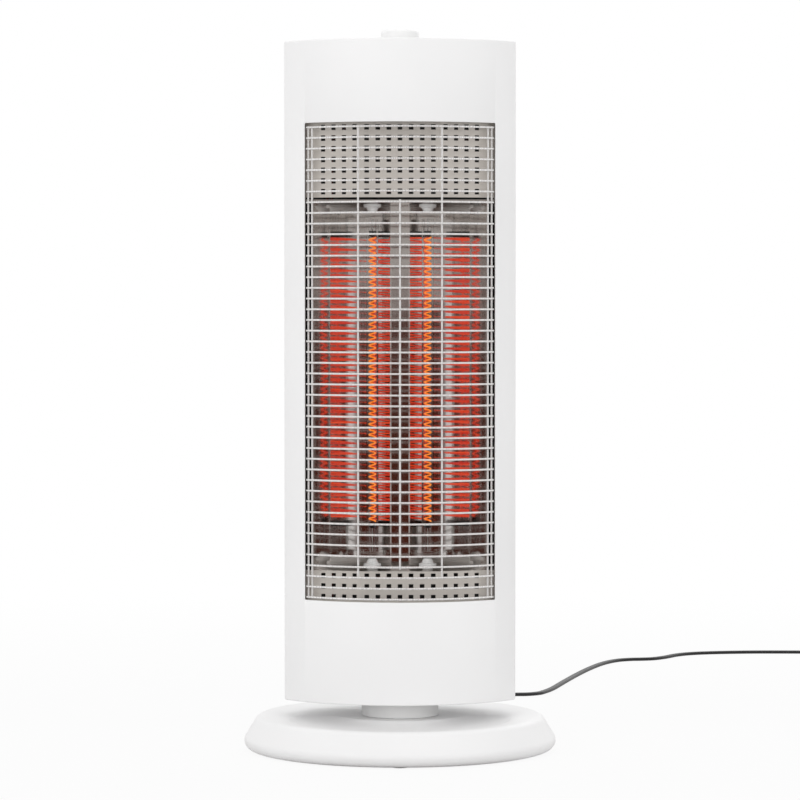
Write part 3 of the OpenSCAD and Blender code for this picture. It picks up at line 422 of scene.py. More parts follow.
# %% Plastics and rubber
SATIN_WHITE, SATIN = (0.88, 0.877, 0.878), 0.42
plastic("white_plastic", SATIN_WHITE, SATIN)
plastic("grey_plastic", (0.84, 0.84, 0.835), 0.5)
plastic("knob_plastic", (0.88, 0.88, 0.878), 0.38, size=1400.0)
plastic("bearing_plastic", (0.75, 0.71, 0.6), 0.5)
plastic("dark_plastic", (0.018, 0.018, 0.02), 0.45)
plastic("red_plastic", (0.5, 0.03, 0.02), 0.4)
plastic("cord_rubber", (0.012, 0.012, 0.013), 0.42, grain=0.00004, size=700.0)
plastic("foot_rubber", (0.014, 0.014, 0.014), 0.75, grain=0.00005, size=500.0)
plastic("lead_rubber", (0.1, 0.012, 0.01), 0.5)
plastic("ceramic", (0.93, 0.93, 0.92), 0.4, grain=0.00004, size=600.0)
plastic("ballast_iron", (0.09, 0.09, 0.095), 0.6, grain=0.00015, size=150.0,
        Metallic=0.8)
plastic("black_steel", (0.02, 0.02, 0.022), 0.5, grain=0.00005, size=400.0)
print("plastics and rubber", len(FINISHES))

# %% [markdown]
# The rear cover is the same satin white outside. Its inner side is painted dark grey: painted
# shade that stands for the shadow inside the column, which is why the vents look black. The
# painted shade is found by its distance from the axis of the cover's curve.

# %% White plastic with painted shade on its inner side
CURVE_Y, INSIDE_SHADE_R, INSIDE_SHADE_X, INSIDE_SHADE_TONE = 0.05, 0.1189, 0.093, (0.05, 0.05, 0.05)
rear_tree, rear_shader = new_material("rear_plastic", Roughness=SATIN)
rear_place = add_node(rear_tree, "ShaderNodeTexCoord")
from_axis = add_node(rear_tree, "ShaderNodeVectorMath", operation="MULTIPLY_ADD")
from_axis.inputs[1].default_value = (1, 1, 0)
from_axis.inputs[2].default_value = (0, CURVE_Y, 0)
axis_far = add_node(rear_tree, "ShaderNodeVectorMath", operation="LENGTH")
within = math_node(rear_tree, "LESS_THAN", INSIDE_SHADE_R)
rear_split = add_node(rear_tree, "ShaderNodeSeparateXYZ")
rear_side = math_node(rear_tree, "ABSOLUTE")
off_corner = math_node(rear_tree, "LESS_THAN", INSIDE_SHADE_X)
painted_shade = math_node(rear_tree, "MULTIPLY")
link_all(rear_tree, [
    (rear_place, "Object", from_axis, 0),
    (from_axis, "Vector", axis_far, 0),
    (axis_far, "Value", within, 0),
    (rear_place, "Object", rear_split, "Vector"),
    (rear_split, "X", rear_side, 0),
    (rear_side, "Value", off_corner, 0),
    (within, "Value", painted_shade, 0),
    (off_corner, "Value", painted_shade, 1),
])
# Painted shade: the inner side turns dark grey where the mask is one.
tinted(rear_tree, painted_shade.outputs["Value"], SATIN_WHITE, INSIDE_SHADE_TONE, rear_shader.inputs["Base Color"])
rear_grain = placed_group(rear_tree, moulded_grain, Size=GRAIN_SIZE)
bumped(rear_tree, rear_grain.outputs["Height"], GRAIN_DEPTH, rear_shader)
print("rear cover's coat ends at", INSIDE_SHADE_R, "m from the curve's axis")

# %% [markdown]
# Metals differ mostly in their gloss: bright wire, polished trough, dull zinc.

# %% Metals
sheet_metal("zinc_steel", (0.55, 0.56, 0.58), 0.35)
sheet_metal("guard_wire", (0.88, 0.87, 0.86), 0.28, wave=120.0, metallic=0.35)
sheet_metal("guard_strip", (0.6, 0.58, 0.56), 0.3, metallic=0.8)
sheet_metal("vent_sheet", (0.65, 0.61, 0.565), 0.5, wave=18.0, metallic=0.15)
sheet_metal("mirror_sheet", (0.78, 0.755, 0.73), 0.07, wave=22.0, depth=0.0002)
sheet_metal("blade_metal", (0.75, 0.72, 0.64), 0.25)
print("with the metals", len(FINISHES))

# %% [markdown]
# The tubes are clear quartz, so the glass is plain. The carbon coil glows where current runs
# through it: orange seen straight on, with hotter spots, as a woven strand has. In the trough its
# reflection is painted: the coil's own emission turns dimmer and redder for rays that have met a
# mirror, a painted reflection tone. The ends of the coil stay black, and the thin wires beyond
# them are bright.

# %% Quartz and carbon
COIL_MIDDLE, WIRE_FROM = 0.3321, 0.134
new_material("quartz", Base_Color=(0.98, 0.98, 0.98, 1), Roughness=0.02, IOR=1.45,
             Transmission_Weight=1.0)
cold_tree, cold_shader = new_material("carbon_cold", Roughness=0.5)
cold_place = add_node(cold_tree, "ShaderNodeTexCoord")
cold_split = add_node(cold_tree, "ShaderNodeSeparateXYZ")
cold_far = math_node(cold_tree, "SUBTRACT", COIL_MIDDLE)
cold_off = math_node(cold_tree, "ABSOLUTE")
cold_wire = math_node(cold_tree, "GREATER_THAN", WIRE_FROM)
link_all(cold_tree, [
    (cold_place, "Object", cold_split, "Vector"),
    (cold_split, "Z", cold_far, 0),
    (cold_far, "Value", cold_off, 0),
    (cold_off, "Value", cold_wire, 0),
])
tinted(cold_tree, cold_wire.outputs["Value"], (0.02, 0.019, 0.018), (0.6, 0.58, 0.55),
       cold_shader.inputs["Base Color"])

# %% Glow of the coil
SEEN_DARK, SEEN_LIGHT = (0.95, 0.12, 0.012), (1.0, 0.34, 0.04)
# Painted reflection: the redder, dimmer tones that only rays which have met a mirror see.
PAINTED_REFLECTION_DARK, PAINTED_REFLECTION_LIGHT = (0.6, 0.015, 0.014), (1.0, 0.085, 0.02)
ONE_MIRROR = 0.5  # a ray that has met a mirror has a glossy depth above this
glow_tree, glow_shader = new_material(
    "carbon_glow", Base_Color=(0.05, 0.02, 0.01, 1), Roughness=0.8, Emission_Strength=1.0)
glow_spots = placed_group(glow_tree, moulded_grain, Size=420.0, Drift=60.0)
glow_path = add_node(glow_tree, "ShaderNodeLightPath")
met_mirror = math_node(glow_tree, "GREATER_THAN", ONE_MIRROR)
seen_as = colour_mix(glow_tree)
link_all(glow_tree, [
    (glow_path, "Glossy Depth", met_mirror, 0),
    (met_mirror, "Value", seen_as, MIX_SHARE),
    (seen_as, MIX_OUT, glow_shader, "Emission Color"),
])
for socket, dark, light in ((MIX_A, SEEN_DARK, SEEN_LIGHT), (MIX_B, PAINTED_REFLECTION_DARK, PAINTED_REFLECTION_LIGHT)):
    tinted(glow_tree, glow_spots.outputs["Height"], dark, light, seen_as.inputs[socket])
print("all materials of the heater", len(FINISHES))

# %% [markdown]
# The mains cord is a flat black twin lead, 6.6 by 3.4 mm. It leaves the low gland at the back,
# runs along the floor out to the right as the photograph shows, and what the photograph doesn't
# show is wound up, tied and laid just outside the view. Its line is one curve with a smooth
# handle at each point, and its section is the outline of two cores side by side.

# %% The cord's route
CORD = [
    (0, 172.5, 10.5), (0, 182, 10.4), (1, 200, 7.6), (5, 222, 3.2), (13, 246, 1.9), (27, 280, 1.9),
    (46, 318, 1.9), (67, 352, 1.9), (84, 375, 1.9), (97, 390, 1.9), (107, 398.5, 1.9),
    (118, 402, 1.9), (127.3, 402.8, 1.9), (134.7, 406, 1.9), (141, 411.5, 1.9),
    (145.7, 419.7, 1.9), (157, 452, 1.9), (172, 514, 1.9), (189, 582, 1.9), (206, 643, 1.9),
    (223, 693, 1.9), (240, 724, 1.9), (256, 736, 1.9), (270, 739, 1.9), (283, 744, 1.9),
    (297, 759, 1.9), (313, 784, 1.9), (333, 800, 1.9), (364, 810, 1.9), (403, 815, 1.9),
    (440, 815, 1.9), (472, 814, 1.9), (500, 814, 1.9),
]
CORD_W, CORD_T, LAYER_H = 6.6, 3.4, 4.1
LOOP_RINGS, WIND, HALF_LOOP = 24, 21, 12
COIL_R, COIL_STEP = 41.0, 7.6
TAIL_STEP, TAIL_N, INSIDE_GLAND = 16, 4, (0, 165, 10.5)
coil_middle = Vector(CORD[-1]) + Vector((CORD_W, COIL_R, 0))


def coil_point(i):
    """The stored coil winds in, climbs a layer as it turns back, and winds out again."""
    a = math.radians(-90 + 360 * i / LOOP_RINGS)
    wound = i if i <= WIND else WIND if i <= WIND + HALF_LOOP else 2 * WIND + HALF_LOOP - i
    climb = min(max((i - WIND) / HALF_LOOP, 0), 1)
    r = COIL_R - COIL_STEP * wound / LOOP_RINGS
    up = LAYER_H * (1 - math.cos(math.pi * climb)) / 2
    return coil_middle + Vector((r * math.cos(a), r * math.sin(a), up))


# %% The stored coil and its tail
coil_points = [coil_point(i) for i in range(2 * WIND + HALF_LOOP + 1)]
coil_out = (coil_points[-1] - coil_points[-2]).normalized()
tail = [coil_points[-1] + coil_out * TAIL_STEP * k for k in range(1, TAIL_N + 1)]
route = [p * MM for p in [Vector(INSIDE_GLAND), *map(Vector, CORD), *coil_points, *tail]]
plug_at = route[-1]
plug_turn = math.atan2(coil_out.y, coil_out.x)

# %% [markdown]
# The section is drawn flat, as a curve that the cord carries along: two round cores and the
# shallow waists between them.

# %% Section of the twin lead
CORE_R, CORE_X, LOBE_TURN = CORD_T / 2, 1.6, 125
lobe = arc(CORE_X, 0, CORE_R, -LOBE_TURN, LOBE_TURN, 10)
section = in_mm([(x, y, 0) for x, y in lobe] + [(-x, -y, 0) for x, y in lobe])
bpy.ops.curve.primitive_nurbs_path_add()
twin = bpy.context.object
twin.data.splines.clear()
outline = twin.data.splines.new("POLY")
outline.points.add(len(section) - 1)
for point, place in zip(outline.points, section):
    point.co = (*place, 1)
outline.use_cyclic_u = True
twin.data.dimensions = "2D"
twin.data.fill_mode = "NONE"

# %% Sweep the section along the route
HANDLE = 6  # a point's handles reach a sixth of the way between its neighbours
bpy.ops.curve.primitive_bezier_curve_add()
cord = bpy.context.object
cord.data.splines.clear()
line = cord.data.splines.new("BEZIER")
line.bezier_points.add(len(route) - 1)
for i, knot in enumerate(line.bezier_points):
    before, after = route[max(i - 1, 0)], route[min(i + 1, len(route) - 1)]
    reach = (after - before) / HANDLE
    knot.co = route[i]
    knot.handle_left, knot.handle_right = route[i] - reach, route[i] + reach
cord.data.dimensions = "3D"
cord.data.twist_mode = "Z_UP"
cord.data.resolution_u = 4
cord.data.bevel_mode = "OBJECT"
cord.data.bevel_object = twin
cord.data.use_fill_caps = True
only(cord)
bpy.ops.object.convert(target="MESH")
cord = bpy.context.object
bpy.data.objects.remove(twin)
cleaned(cord)
settle(cord, "mains_cord", "base", "cord_rubber", ("cord_free", "cord_coil"), angle=50)

# %% [markdown]
# The strain relief is a rubber sleeve with ribs, thicker at the base's wall and tapering to the
# cord. It is turned as a half section standing up, and then laid down along the cord.


# %% Ribbed strain relief
def lay_back(obj, place):
    """Turns an upright piece so that its axis runs to the back, and moves it to its place."""
    edit(obj)
    bpy.ops.transform.rotate(value=math.radians(90), orient_axis="X", center_override=(0, 0, 0))
    move(place)
    return only(obj)


GLAND_Y, GLAND_Z, AXIS_R = 130.4, 10.5, 0.01
SLEEVE_R, SLEEVE_Z = 6, 12.1
RIB_N, RIB_Z, RIB_STEP, GROOVE, TAPER = 6, 13.2, 4.3, 0.9, 0.05
gland_line = [(AXIS_R, 0), (6, 0), (6, 2.2), (4.9, 2.2), (4.9, 9.9), (6.6, 9.9), (7, 10.3),
              (7, 11.7), (6.6, SLEEVE_Z), (SLEEVE_R, SLEEVE_Z)]
for rib in range(RIB_N):
    z = RIB_Z + rib * RIB_STEP
    r = SLEEVE_R - (z - SLEEVE_Z) * TAPER
    gland_line += [(r, z), (r, z + 2.3), (r - GROOVE, z + 2.7), (r - GROOVE, z + 3.9)]
gland_line += [(4.5, 41.6), (4.1, 42.1), (AXIS_R, 42.1)]
relief = turned(in_mm(gland_line), 40)
lay_back(relief, (0, GLAND_Y * MM, GLAND_Z * MM))
soft_edges(relief, 0.25, 0.6)
settle(relief, "strain_relief", "base", "cord_rubber", ("cord_gland",))

# %% [markdown]
# The plug is a moulded body with finger grooves, a tapered neck that grips the cord and two flat
# blades with rounded tips. It starts as a box that is pulled in at its ends and rounded.


# %% Plug body
def turn_flat(obj, turn):
    """Turns a piece that lies along +X about the vertical axis through the origin."""
    edit(obj)
    bpy.ops.transform.rotate(value=-turn, orient_axis="Z", center_override=(0, 0, 0))
    return only(obj)


def laid_plug(obj):
    """Moves a plug piece, made along +X from the origin, to the end of the cord."""
    turn_flat(obj, plug_turn)
    edit(obj)
    move(plug_at)
    return only(obj)


PLUG_SIZE, PLUG_MIDDLE, PLUG_END = (0.018, 0.024, 0.0118), (0.021, 0, 0), (0.012, 0, 0)
NECK_LENGTH, GRIP_EDGE, GRIP_FROM = 0.012, 0.0032, 0.013
FACING = 0.9  # a face looks along an axis when its normal's share of it is above this
bpy.ops.mesh.primitive_cube_add(size=1, location=PLUG_MIDDLE)
plug = edit(bpy.context.object)
resize(PLUG_SIZE, PLUG_MIDDLE)
pick("FACE", lambda f: f.normal.x < -FACING)
resize((1, 0.72, 0.92), PLUG_END)
bpy.ops.mesh.inset(thickness=0.0018)
resize((1, 0.58, 0.9), PLUG_END)
extrude((-NECK_LENGTH, 0, 0))
resize((1, 0.72, 0.7))
pick("FACE", lambda f: abs(f.normal.z) > FACING and middle(f).x > GRIP_FROM)
bpy.ops.mesh.inset(thickness=GRIP_EDGE)
extrude((0, 0, 0))
resize((0.9, 0.9, 0.84), PLUG_MIDDLE)
soft_edges(plug, 1.4, 0.5, segments=3)
laid_plug(plug)
cleaned(plug)
settle(plug, "plug_moulding", "base", "cord_rubber", ("plug_body",), angle=50)

# %% Plug blades
BLADE_SIZE, BLADE_X, BLADE_TIP, BLADE_GAP = (0.017, 0.0015, 0.0063), 0.0385, 0.047, 0.0127
bpy.ops.mesh.primitive_cube_add(size=1, location=(0, 0, 0))
blade = edit(bpy.context.object)
resize(BLADE_SIZE)
move((BLADE_X, BLADE_GAP / 2, 0))
pick("FACE", lambda f: f.normal.x > FACING)
bpy.ops.mesh.inset(thickness=0.0003)
resize((1, 0.6, 0.75), (BLADE_TIP, BLADE_GAP / 2, 0))
soft_edges(blade, 0.3, 0.5)
edit(blade)
bpy.ops.mesh.duplicate_move(TRANSFORM_OT_translate={"value": (0, -BLADE_GAP, 0)})
laid_plug(blade)
cleaned(blade)
settle(blade, "plug_pins", "base", "blade_metal", ("plug_blades",))

# %% [markdown]
# A wire tie holds the stored coil: a flat strap over both layers, whose two legs reach the floor.

# %% Wire tie
TIE_TURN, TIE_WIDTH = math.radians(200), 0.003
tie_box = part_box("cord_tie")
tie_section = in_mm([(29.9, 0, 0), (29.9, 0, 8.5), (30.3, 0, 8.9), (42.2, 0, 8.9), (42.6, 0, 8.5),
                     (42.6, 0, 0), (41.6, 0, 0), (41.6, 0, 7.6), (41.3, 0, 7.9), (31.2, 0, 7.9),
                     (30.9, 0, 7.6), (30.9, 0, 0)])
tie = drawn_line(tie_section, closed=True)
move((0, -TIE_WIDTH / 2, 0))
extrude((0, TIE_WIDTH, 0))
turn_flat(tie, TIE_TURN)
edit(tie)
move((coil_middle.x * MM, coil_middle.y * MM, 0))
cleaned(tie)
soft_edges(tie, 0.2, 0.6)
settle(tie, "wire_tie", "base", "dark_plastic", ("cord_tie",))
print("tie in CAD", [round(v / MM, 1) for v in (*tie_box[0], *tie_box[1])])

# %% [markdown]
# The base is one moulded lid: a flat middle, a rounded shoulder, a straight slope, and a toe
# tucked in over the feet. It is turned from a half section with close rings where the crescent
# hollow comes, and the hollow is then pressed into both skins, as the mould's punch does.

# %% Half section of the base
BASE_R, BASE_H, BASE_Z0, WALL = 140.0, 31.0, 1, 2.8
SHOULDER_R, SHOULDER_IN, SHOULDER_TOP, TOE_R = 8.0, 16.5, 88, 8.0
BORE_R, HUB_R, HUB_Z = 15.1, 34, 22
RING_R, RING_N = 44, 79
INNER_RING_R, INNER_RING_STEP, INNER_RING_N = 121, 1.5, 53
shoulder_at = (BASE_R - SHOULDER_IN, BASE_H - SHOULDER_R)
toe_at = (BASE_R - TOE_R, BASE_Z0 + TOE_R)
SLOPE = 90 - math.degrees(math.atan2(shoulder_at[1] - toe_at[1], toe_at[0] - shoulder_at[0]))
outer = [(BORE_R, HUB_Z), (BORE_R, 30.6), (15.5, BASE_H), (30, BASE_H), (40, BASE_H)]
outer += [(RING_R + i, BASE_H) for i in range(RING_N)]
outer += arc(*shoulder_at, SHOULDER_R, SHOULDER_TOP, SLOPE, 12)
outer += arc(*toe_at, TOE_R, SLOPE, -90, 16)
inner = [(BASE_R - TOE_R, BASE_Z0 + WALL)] + arc(*toe_at, TOE_R - WALL, -80, SLOPE, 8)
inner += arc(*shoulder_at, SHOULDER_R - WALL, SLOPE, SHOULDER_TOP, 8)
inner += [(INNER_RING_R - INNER_RING_STEP * i, BASE_H - WALL) for i in range(INNER_RING_N)]
inner += [(HUB_R, BASE_H - WALL), (HUB_R, 22.4), (33.6, HUB_Z), (BORE_R, HUB_Z)]
print("slope of the base's side faces", round(SLOPE, 1), "degrees up")
base_lid = turned(in_mm(outer + inner), 288)
print("base lid faces", len(base_lid.data.polygons))

# %% Press the crescent hollow
DISH_R, DISH_HALF, DISH_TURN, DISH_BEND = 86.0, 38.0, 92.0, 10.0
DISH_DEPTH, DISH_RISE = 5.0, 1.0
ACROSS_POWER, BOWL_POWER = 2.5, 1.78  # how square its outline and its bowl are
SOFT, SOFT_BACK = 0.05, 0.02  # these round its rim
SKINS_Z, DISH_FROM, DISH_TO = 28, 42, 126  # where the two skins are flat


def dish_depth(x, y):
    """How far the hollow is pressed in at a place: a bowl bent round the base's middle."""
    along = ((math.degrees(math.atan2(y, x)) + 90 + 180) % 360 - 180) / DISH_TURN
    across = (math.hypot(x, y) - DISH_R + DISH_BEND * along ** 2) / DISH_HALF
    reach = along ** 2 + abs(across) ** ACROSS_POWER
    depth = (DISH_DEPTH + DISH_RISE) * (1 - reach ** BOWL_POWER) - DISH_RISE
    return (depth + math.sqrt(depth * depth + SOFT)) / 2 - SOFT_BACK


moved = 0
for v in base_lid.data.vertices:
    x, y, z = (c / MM for c in v.co)
    if z > SKINS_Z and DISH_FROM < math.hypot(x, y) < DISH_TO:
        deep = dish_depth(x, y)
        if deep > 0:
            v.co.z -= deep * MM
            moved += 1
settle(base_lid, "base_lid", "base", "white_plastic", ("base_shell",), angle=40)
print("points pressed into the hollow", moved)

# %% [markdown]
# The column is two mouldings that meet at the sides: the front panel, a curved sheet with a tall
# window, and the rear cover with its vents and screw pockets. Each is an outline seen from above,
# pulled up to the column's height, given its wall, cut, and rounded at its edges.

# %% Outline of the column
BODY_X, BODY_Z0, BODY_H, BODY_WALL, RIM_R = 103.4, 45.5, 589.0, 1.8, 1.4
FRONT_R, FRONT_C, BACK_R, BACK_C, CORNER_R = 135.0, 75.0, 120.0, -50.0, 4.0
SEAM_Y, SEAM_GAP = 2.0, 0.2
AT_END, RUNS_BACK = 0.05, 0.1  # tolerances for picking


def column_line(big_r, big_c, seam, inset=0.0):
    """One half of the column seen from above, from the right seam to the left one."""
    side = 1 if big_c < 0 else -1
    cx = BODY_X - CORNER_R
    cy = big_c + side * math.sqrt((big_r - CORNER_R) ** 2 - cx * cx)
    turn = math.degrees(math.atan2(cy - big_c, cx))
    right = [(BODY_X - inset, seam)] + arc(cx, cy, CORNER_R - inset, 0, turn, 6)
    middle_arc = arc(0, big_c, big_r - inset, turn, side * 180 - turn, 96)[1:-1]
    return right + middle_arc + [(-x, y) for x, y in reversed(right)]


front_line = column_line(FRONT_R, FRONT_C, SEAM_Y)
back_line = column_line(BACK_R, BACK_C, SEAM_Y + SEAM_GAP)
print("points of the front and back lines", len(front_line), len(back_line))


# %% A wall pulled up from an outline
def wall_of(line):
    """Pulls an outline up, and gives it its wall inwards."""
    obj = drawn_line(in_mm([(x, y, BODY_Z0) for x, y in line]))
    pulled_up(obj, BODY_H)
    bpy.ops.mesh.select_all(action="SELECT")
    bpy.ops.mesh.normals_make_consistent(inside=False)
    only(obj)
    outward = obj.data.polygons[0].normal.x * obj.data.polygons[0].center.x > 0
    applied(obj, "SOLIDIFY", thickness=BODY_WALL * MM, offset=-1 if outward else 1,
            use_even_offset=True)
    return with_soft_rims(obj, line)


def with_soft_rims(obj, line):
    """Rounds the outer edges at the column's top and bottom."""
    edit(obj)
    spots = {(round(x, 1), round(y, 1)) for x, y in line}
    ends = (BODY_Z0, BODY_Z0 + BODY_H)

    def on_rim(v):
        x, y, z = (c / MM for c in v.co)
        at_end = min(abs(z - end) for end in ends) < AT_END
        return at_end and (round(x, 1), round(y, 1)) in spots

    def runs_round(e):
        first, second = e.verts
        return on_rim(first) and on_rim(second) and abs(first.co.z - second.co.z) < MM

    rim = pick("EDGE", runs_round)
    bpy.ops.mesh.bevel(offset=RIM_R * MM, segments=4)
    print("rim edges rounded", rim)
    return only(obj)


def rounded_box(width, height, depth, radius, place, segments=6):
    """A cutter: a box with rounded upright corners as seen from the front."""
    bpy.ops.mesh.primitive_cube_add(size=1, location=(0, 0, 0))
    obj = edit(bpy.context.object)
    resize((width * MM, depth * MM, height * MM))
    pick("EDGE", lambda e: abs((e.verts[0].co - e.verts[1].co).y) > RUNS_BACK * MM)
    bpy.ops.mesh.bevel(offset=radius * MM, segments=segments)
    bpy.ops.mesh.select_all(action="SELECT")
    move([p * MM for p in place])
    return only(obj)


def cut(obj, cutter):
    applied(obj, "BOOLEAN", operation="DIFFERENCE", solver="EXACT", object=cutter)
    bpy.data.objects.remove(cutter)
    return obj


# %% Front panel
WINDOW_W, WINDOW_H, WINDOW_Z, WINDOW_CORNER = 169.2, 424.0, 137.0, 1
THROUGH, WINDOW_Y = 70, -45
front = wall_of(front_line)
window_middle = (0, WINDOW_Y, WINDOW_Z + WINDOW_H / 2)
cut(front, rounded_box(WINDOW_W, WINDOW_H, THROUGH, WINDOW_CORNER, window_middle))
soft_edges(front, 0.5, 0.8)
even_shading(front)
settle(front, "front_housing", "heater", "white_plastic", ("front_panel",))

# %% [markdown]
# The rear cover is the same kind of wall. It has three columns of slots at the top and three at
# the bottom, and six deep pockets in which the screws that pull the two halves together sit. A
# pocket is a post inside the cover, bored from behind. Four level cuts first part the wall above
# and below each group of slots, so that the slots don't disturb the shading of the plain wall.

# %% Slots of the rear cover
VENT_W, VENT_H, VENT_PITCH, VENT_ROWS, VENT_STEP = 44.0, 4.0, 9.0, 6, 52.0
SCREW_X, POCKET_Y, POST_R, POCKET_R = 95.0, 8.0, 5.0, 3.5
VENT_Y, VENT_THROUGH, VENT_CORNER = 60, 60, 1.2
LOW_VENT, HIGH_VENT = 26.5, BODY_H - 68.5
slots = None
for first_z in (BODY_Z0 + LOW_VENT, BODY_Z0 + HIGH_VENT):
    for k in range(3 * VENT_ROWS):
        column, row = k % 3 - 1, k // 3
        place = (column * VENT_STEP, VENT_Y, first_z + row * VENT_PITCH + VENT_H / 2)
        slot = rounded_box(VENT_W, VENT_H, VENT_THROUGH, VENT_CORNER, place, 3)
        slots = joined(slots, slot) if slots else slot
print("faces of the slot cutter", len(slots.data.polygons))


# %% Posts and pockets
def post(radius, y0, length, x, z):
    """A round bar that lies from front to back."""
    bpy.ops.mesh.primitive_cylinder_add(
        vertices=32, radius=radius * MM, depth=length * MM, rotation=(math.radians(90), 0, 0),
        location=(x * MM, (y0 + length / 2) * MM, z * MM))
    return bpy.context.object


SCREW_Z, POST_Y, POST_LENGTH, BORE_LENGTH = (79.5, 340.0, 604.5), 6.1, 40, 60
CORE_SEAM, CORE_IN = 2.2, 0.9
screws = [(side * SCREW_X, z) for side in (-1, 1) for z in SCREW_Z]
posts = joined(*[post(POST_R, POST_Y, POST_LENGTH, x, z) for x, z in screws])
pockets = joined(*[post(POCKET_R, POCKET_Y, BORE_LENGTH, x, z) for x, z in screws])
core_line = column_line(BACK_R, BACK_C, CORE_SEAM, CORE_IN)
core = drawn_line(in_mm([(x, y, BODY_Z0) for x, y in core_line]), closed=True)
cleaned(pulled_up(core, BODY_H))
applied(posts, "BOOLEAN", operation="INTERSECT", solver="EXACT", object=core)
bpy.data.objects.remove(core)
print("faces of the six posts", len(posts.data.polygons))

# %% Rear cover
PARTED = (20, 85, BODY_H - 75, BODY_H - 12)  # heights of the level cuts above the foot
rear = wall_of(back_line)
for z in PARTED:
    edit(rear)
    bpy.ops.mesh.select_all(action="SELECT")
    bpy.ops.mesh.bisect(plane_co=(0, 0, (BODY_Z0 + z) * MM), plane_no=(0, 0, 1))
only(rear)
applied(rear, "BOOLEAN", operation="UNION", solver="EXACT", object=posts)
bpy.data.objects.remove(posts)
cut(cut(rear, pockets), slots)
soft_edges(rear, 0.4, 0.9)
even_shading(rear)
settle(rear, "rear_housing", "heater", "white_plastic", ("rear_cover",), finish="rear_plastic")

# %% [markdown]
# The guard is one kind of wire, bent back at both ends and welded to a strip behind the window's
# long edge. It is a small ring of points that is turned along the arc, bent round, and pulled
# back; the other half is its mirror image, and the array repeats it up the window.

# %% One guard wire
WIRE_R, GUARD_R, WIRE_Z0, WIRE_PITCH, WIRE_N = 0.9, 133.0, 139.52, 9.49, 45
BEND_X, BEND_R, LEG_BACK = 82.0, 2.5, 4.0
RING_POINTS, ARC_STEPS, BEND_STEPS = 10, 26, 5
turn = math.asin(BEND_X / GUARD_R)


def spun(steps, angle, centre):
    """Spins what is selected to the left about an upright axis.

    With no window the operator turns the other way, so the angle is negative.
    """
    bpy.ops.mesh.spin(steps=steps, angle=-angle, center=centre, axis=(0, 0, 1))


bpy.ops.mesh.primitive_circle_add(
    vertices=RING_POINTS, radius=WIRE_R * MM, location=(0, (FRONT_C - GUARD_R) * MM, 0),
    rotation=(0, math.radians(90), 0))
wire = edit(bpy.context.object)
spun(ARC_STEPS, turn, (0, FRONT_C * MM, 0))
bend_point = Vector((BEND_X, FRONT_C - math.sqrt(GUARD_R ** 2 - BEND_X ** 2), 0))
inwards = Vector((-math.sin(turn), math.cos(turn), 0))
spun(BEND_STEPS, math.pi / 2 - turn, (bend_point + inwards * BEND_R) * MM)
extrude((0, LEG_BACK * MM, 0))
bpy.ops.mesh.edge_face_add()
wire_x = max(v.co.x for v in bmesh.from_edit_mesh(wire.data).verts) / MM
print("wire reaches x", round(wire_x, 2))

# %% The whole guard
applied(wire, "MIRROR", use_axis=(True, False, False), merge_threshold=MERGE)
cleaned(wire)
edit(wire)
move((0, 0, WIRE_Z0 * MM))
applied(wire, "ARRAY", count=WIRE_N, use_relative_offset=False, use_constant_offset=True,
        constant_offset_displace=(0, 0, WIRE_PITCH * MM))
settle(wire, "guard_grille", "heater", "guard_wire", ("guard_wires",), angle=60)

# %% [markdown]
# The reflector is one polished sheet, folded into a trough behind each tube and a ridge between
# them, with flat wings to the window's edges. Each trough is deepest a little outside its tube,
# which spreads the mirrored coil to the sides. Its line is drawn in small steps, because a mirror
# shows every corner.

# %% Reflector
HEAT_Z0, HEAT_Z1, TUBE_X, TUBE_Y = 160.8, 492.5, 25.0, 15.0
TROUGH_BACK, FOCAL, LIP_X, WING_X, WING_Y, SHEET = 26.0, 12.5, 63.0, 78.0, -16.0, 0.8
RIDGE_X, TROUGH_OUT, HALF_STEPS, FOLD = 8.0, 3.0, 60, (0.6, 0.8)


def trough_y(x):
    """The sheet's place behind x: two parabolas and the flat top of the ridge between them."""
    return TROUGH_BACK - (max(abs(x), RIDGE_X) - TUBE_X - TROUGH_OUT) ** 2 / (4 * FOCAL)


steps = range(-HALF_STEPS, HALF_STEPS + 1)
trough = [(x, trough_y(x)) for x in (LIP_X * i / HALF_STEPS for i in steps)]
fold_x, fold_y = WING_X - FOLD[0], WING_Y + FOLD[1]
trough = [(-WING_X, WING_Y), (-fold_x, fold_y)] + trough + [(fold_x, fold_y), (WING_X, WING_Y)]
reflector = drawn_line(in_mm([(x, y, HEAT_Z0) for x, y in trough]))
only(pulled_up(reflector, HEAT_Z1 - HEAT_Z0))
facing_back = reflector.data.polygons[HALF_STEPS].normal.y > 0
applied(reflector, "SOLIDIFY", thickness=SHEET * MM, offset=1 if facing_back else -1)
cleaned(reflector)
settle(reflector, "mirror_trough", "heater", "mirror_sheet", ("reflector",), angle=30)

# %% [markdown]
# Each tube holds a spiral of carbon strand. The spiral is a curve with a round section, made once
# and copied for the second tube.

# %% Carbon coils
COIL_Z0, COIL_Z1, CARBON_TURNS, CARBON_R, STRAND_R = 203.3, 461.0, 54, 2.9, 0.7
STEPS_PER_TURN = 14
coil_n = CARBON_TURNS * STEPS_PER_TURN
coil_h = COIL_Z1 - COIL_Z0 - 2 * STRAND_R
bpy.ops.curve.primitive_nurbs_path_add()
spiral = bpy.context.object
spiral.data.splines.clear()
strand = spiral.data.splines.new("POLY")
strand.points.add(coil_n)
for i, point in enumerate(strand.points):
    a = math.tau * i / STEPS_PER_TURN
    z = COIL_Z0 + STRAND_R + coil_h * i / coil_n
    point.co = (CARBON_R * math.cos(a) * MM, CARBON_R * math.sin(a) * MM, z * MM, 1)
spiral.data.bevel_depth = STRAND_R * MM
spiral.data.bevel_resolution = 1
spiral.data.use_fill_caps = True
only(spiral)
bpy.ops.object.convert(target="MESH")
spiral = cleaned(bpy.context.object)
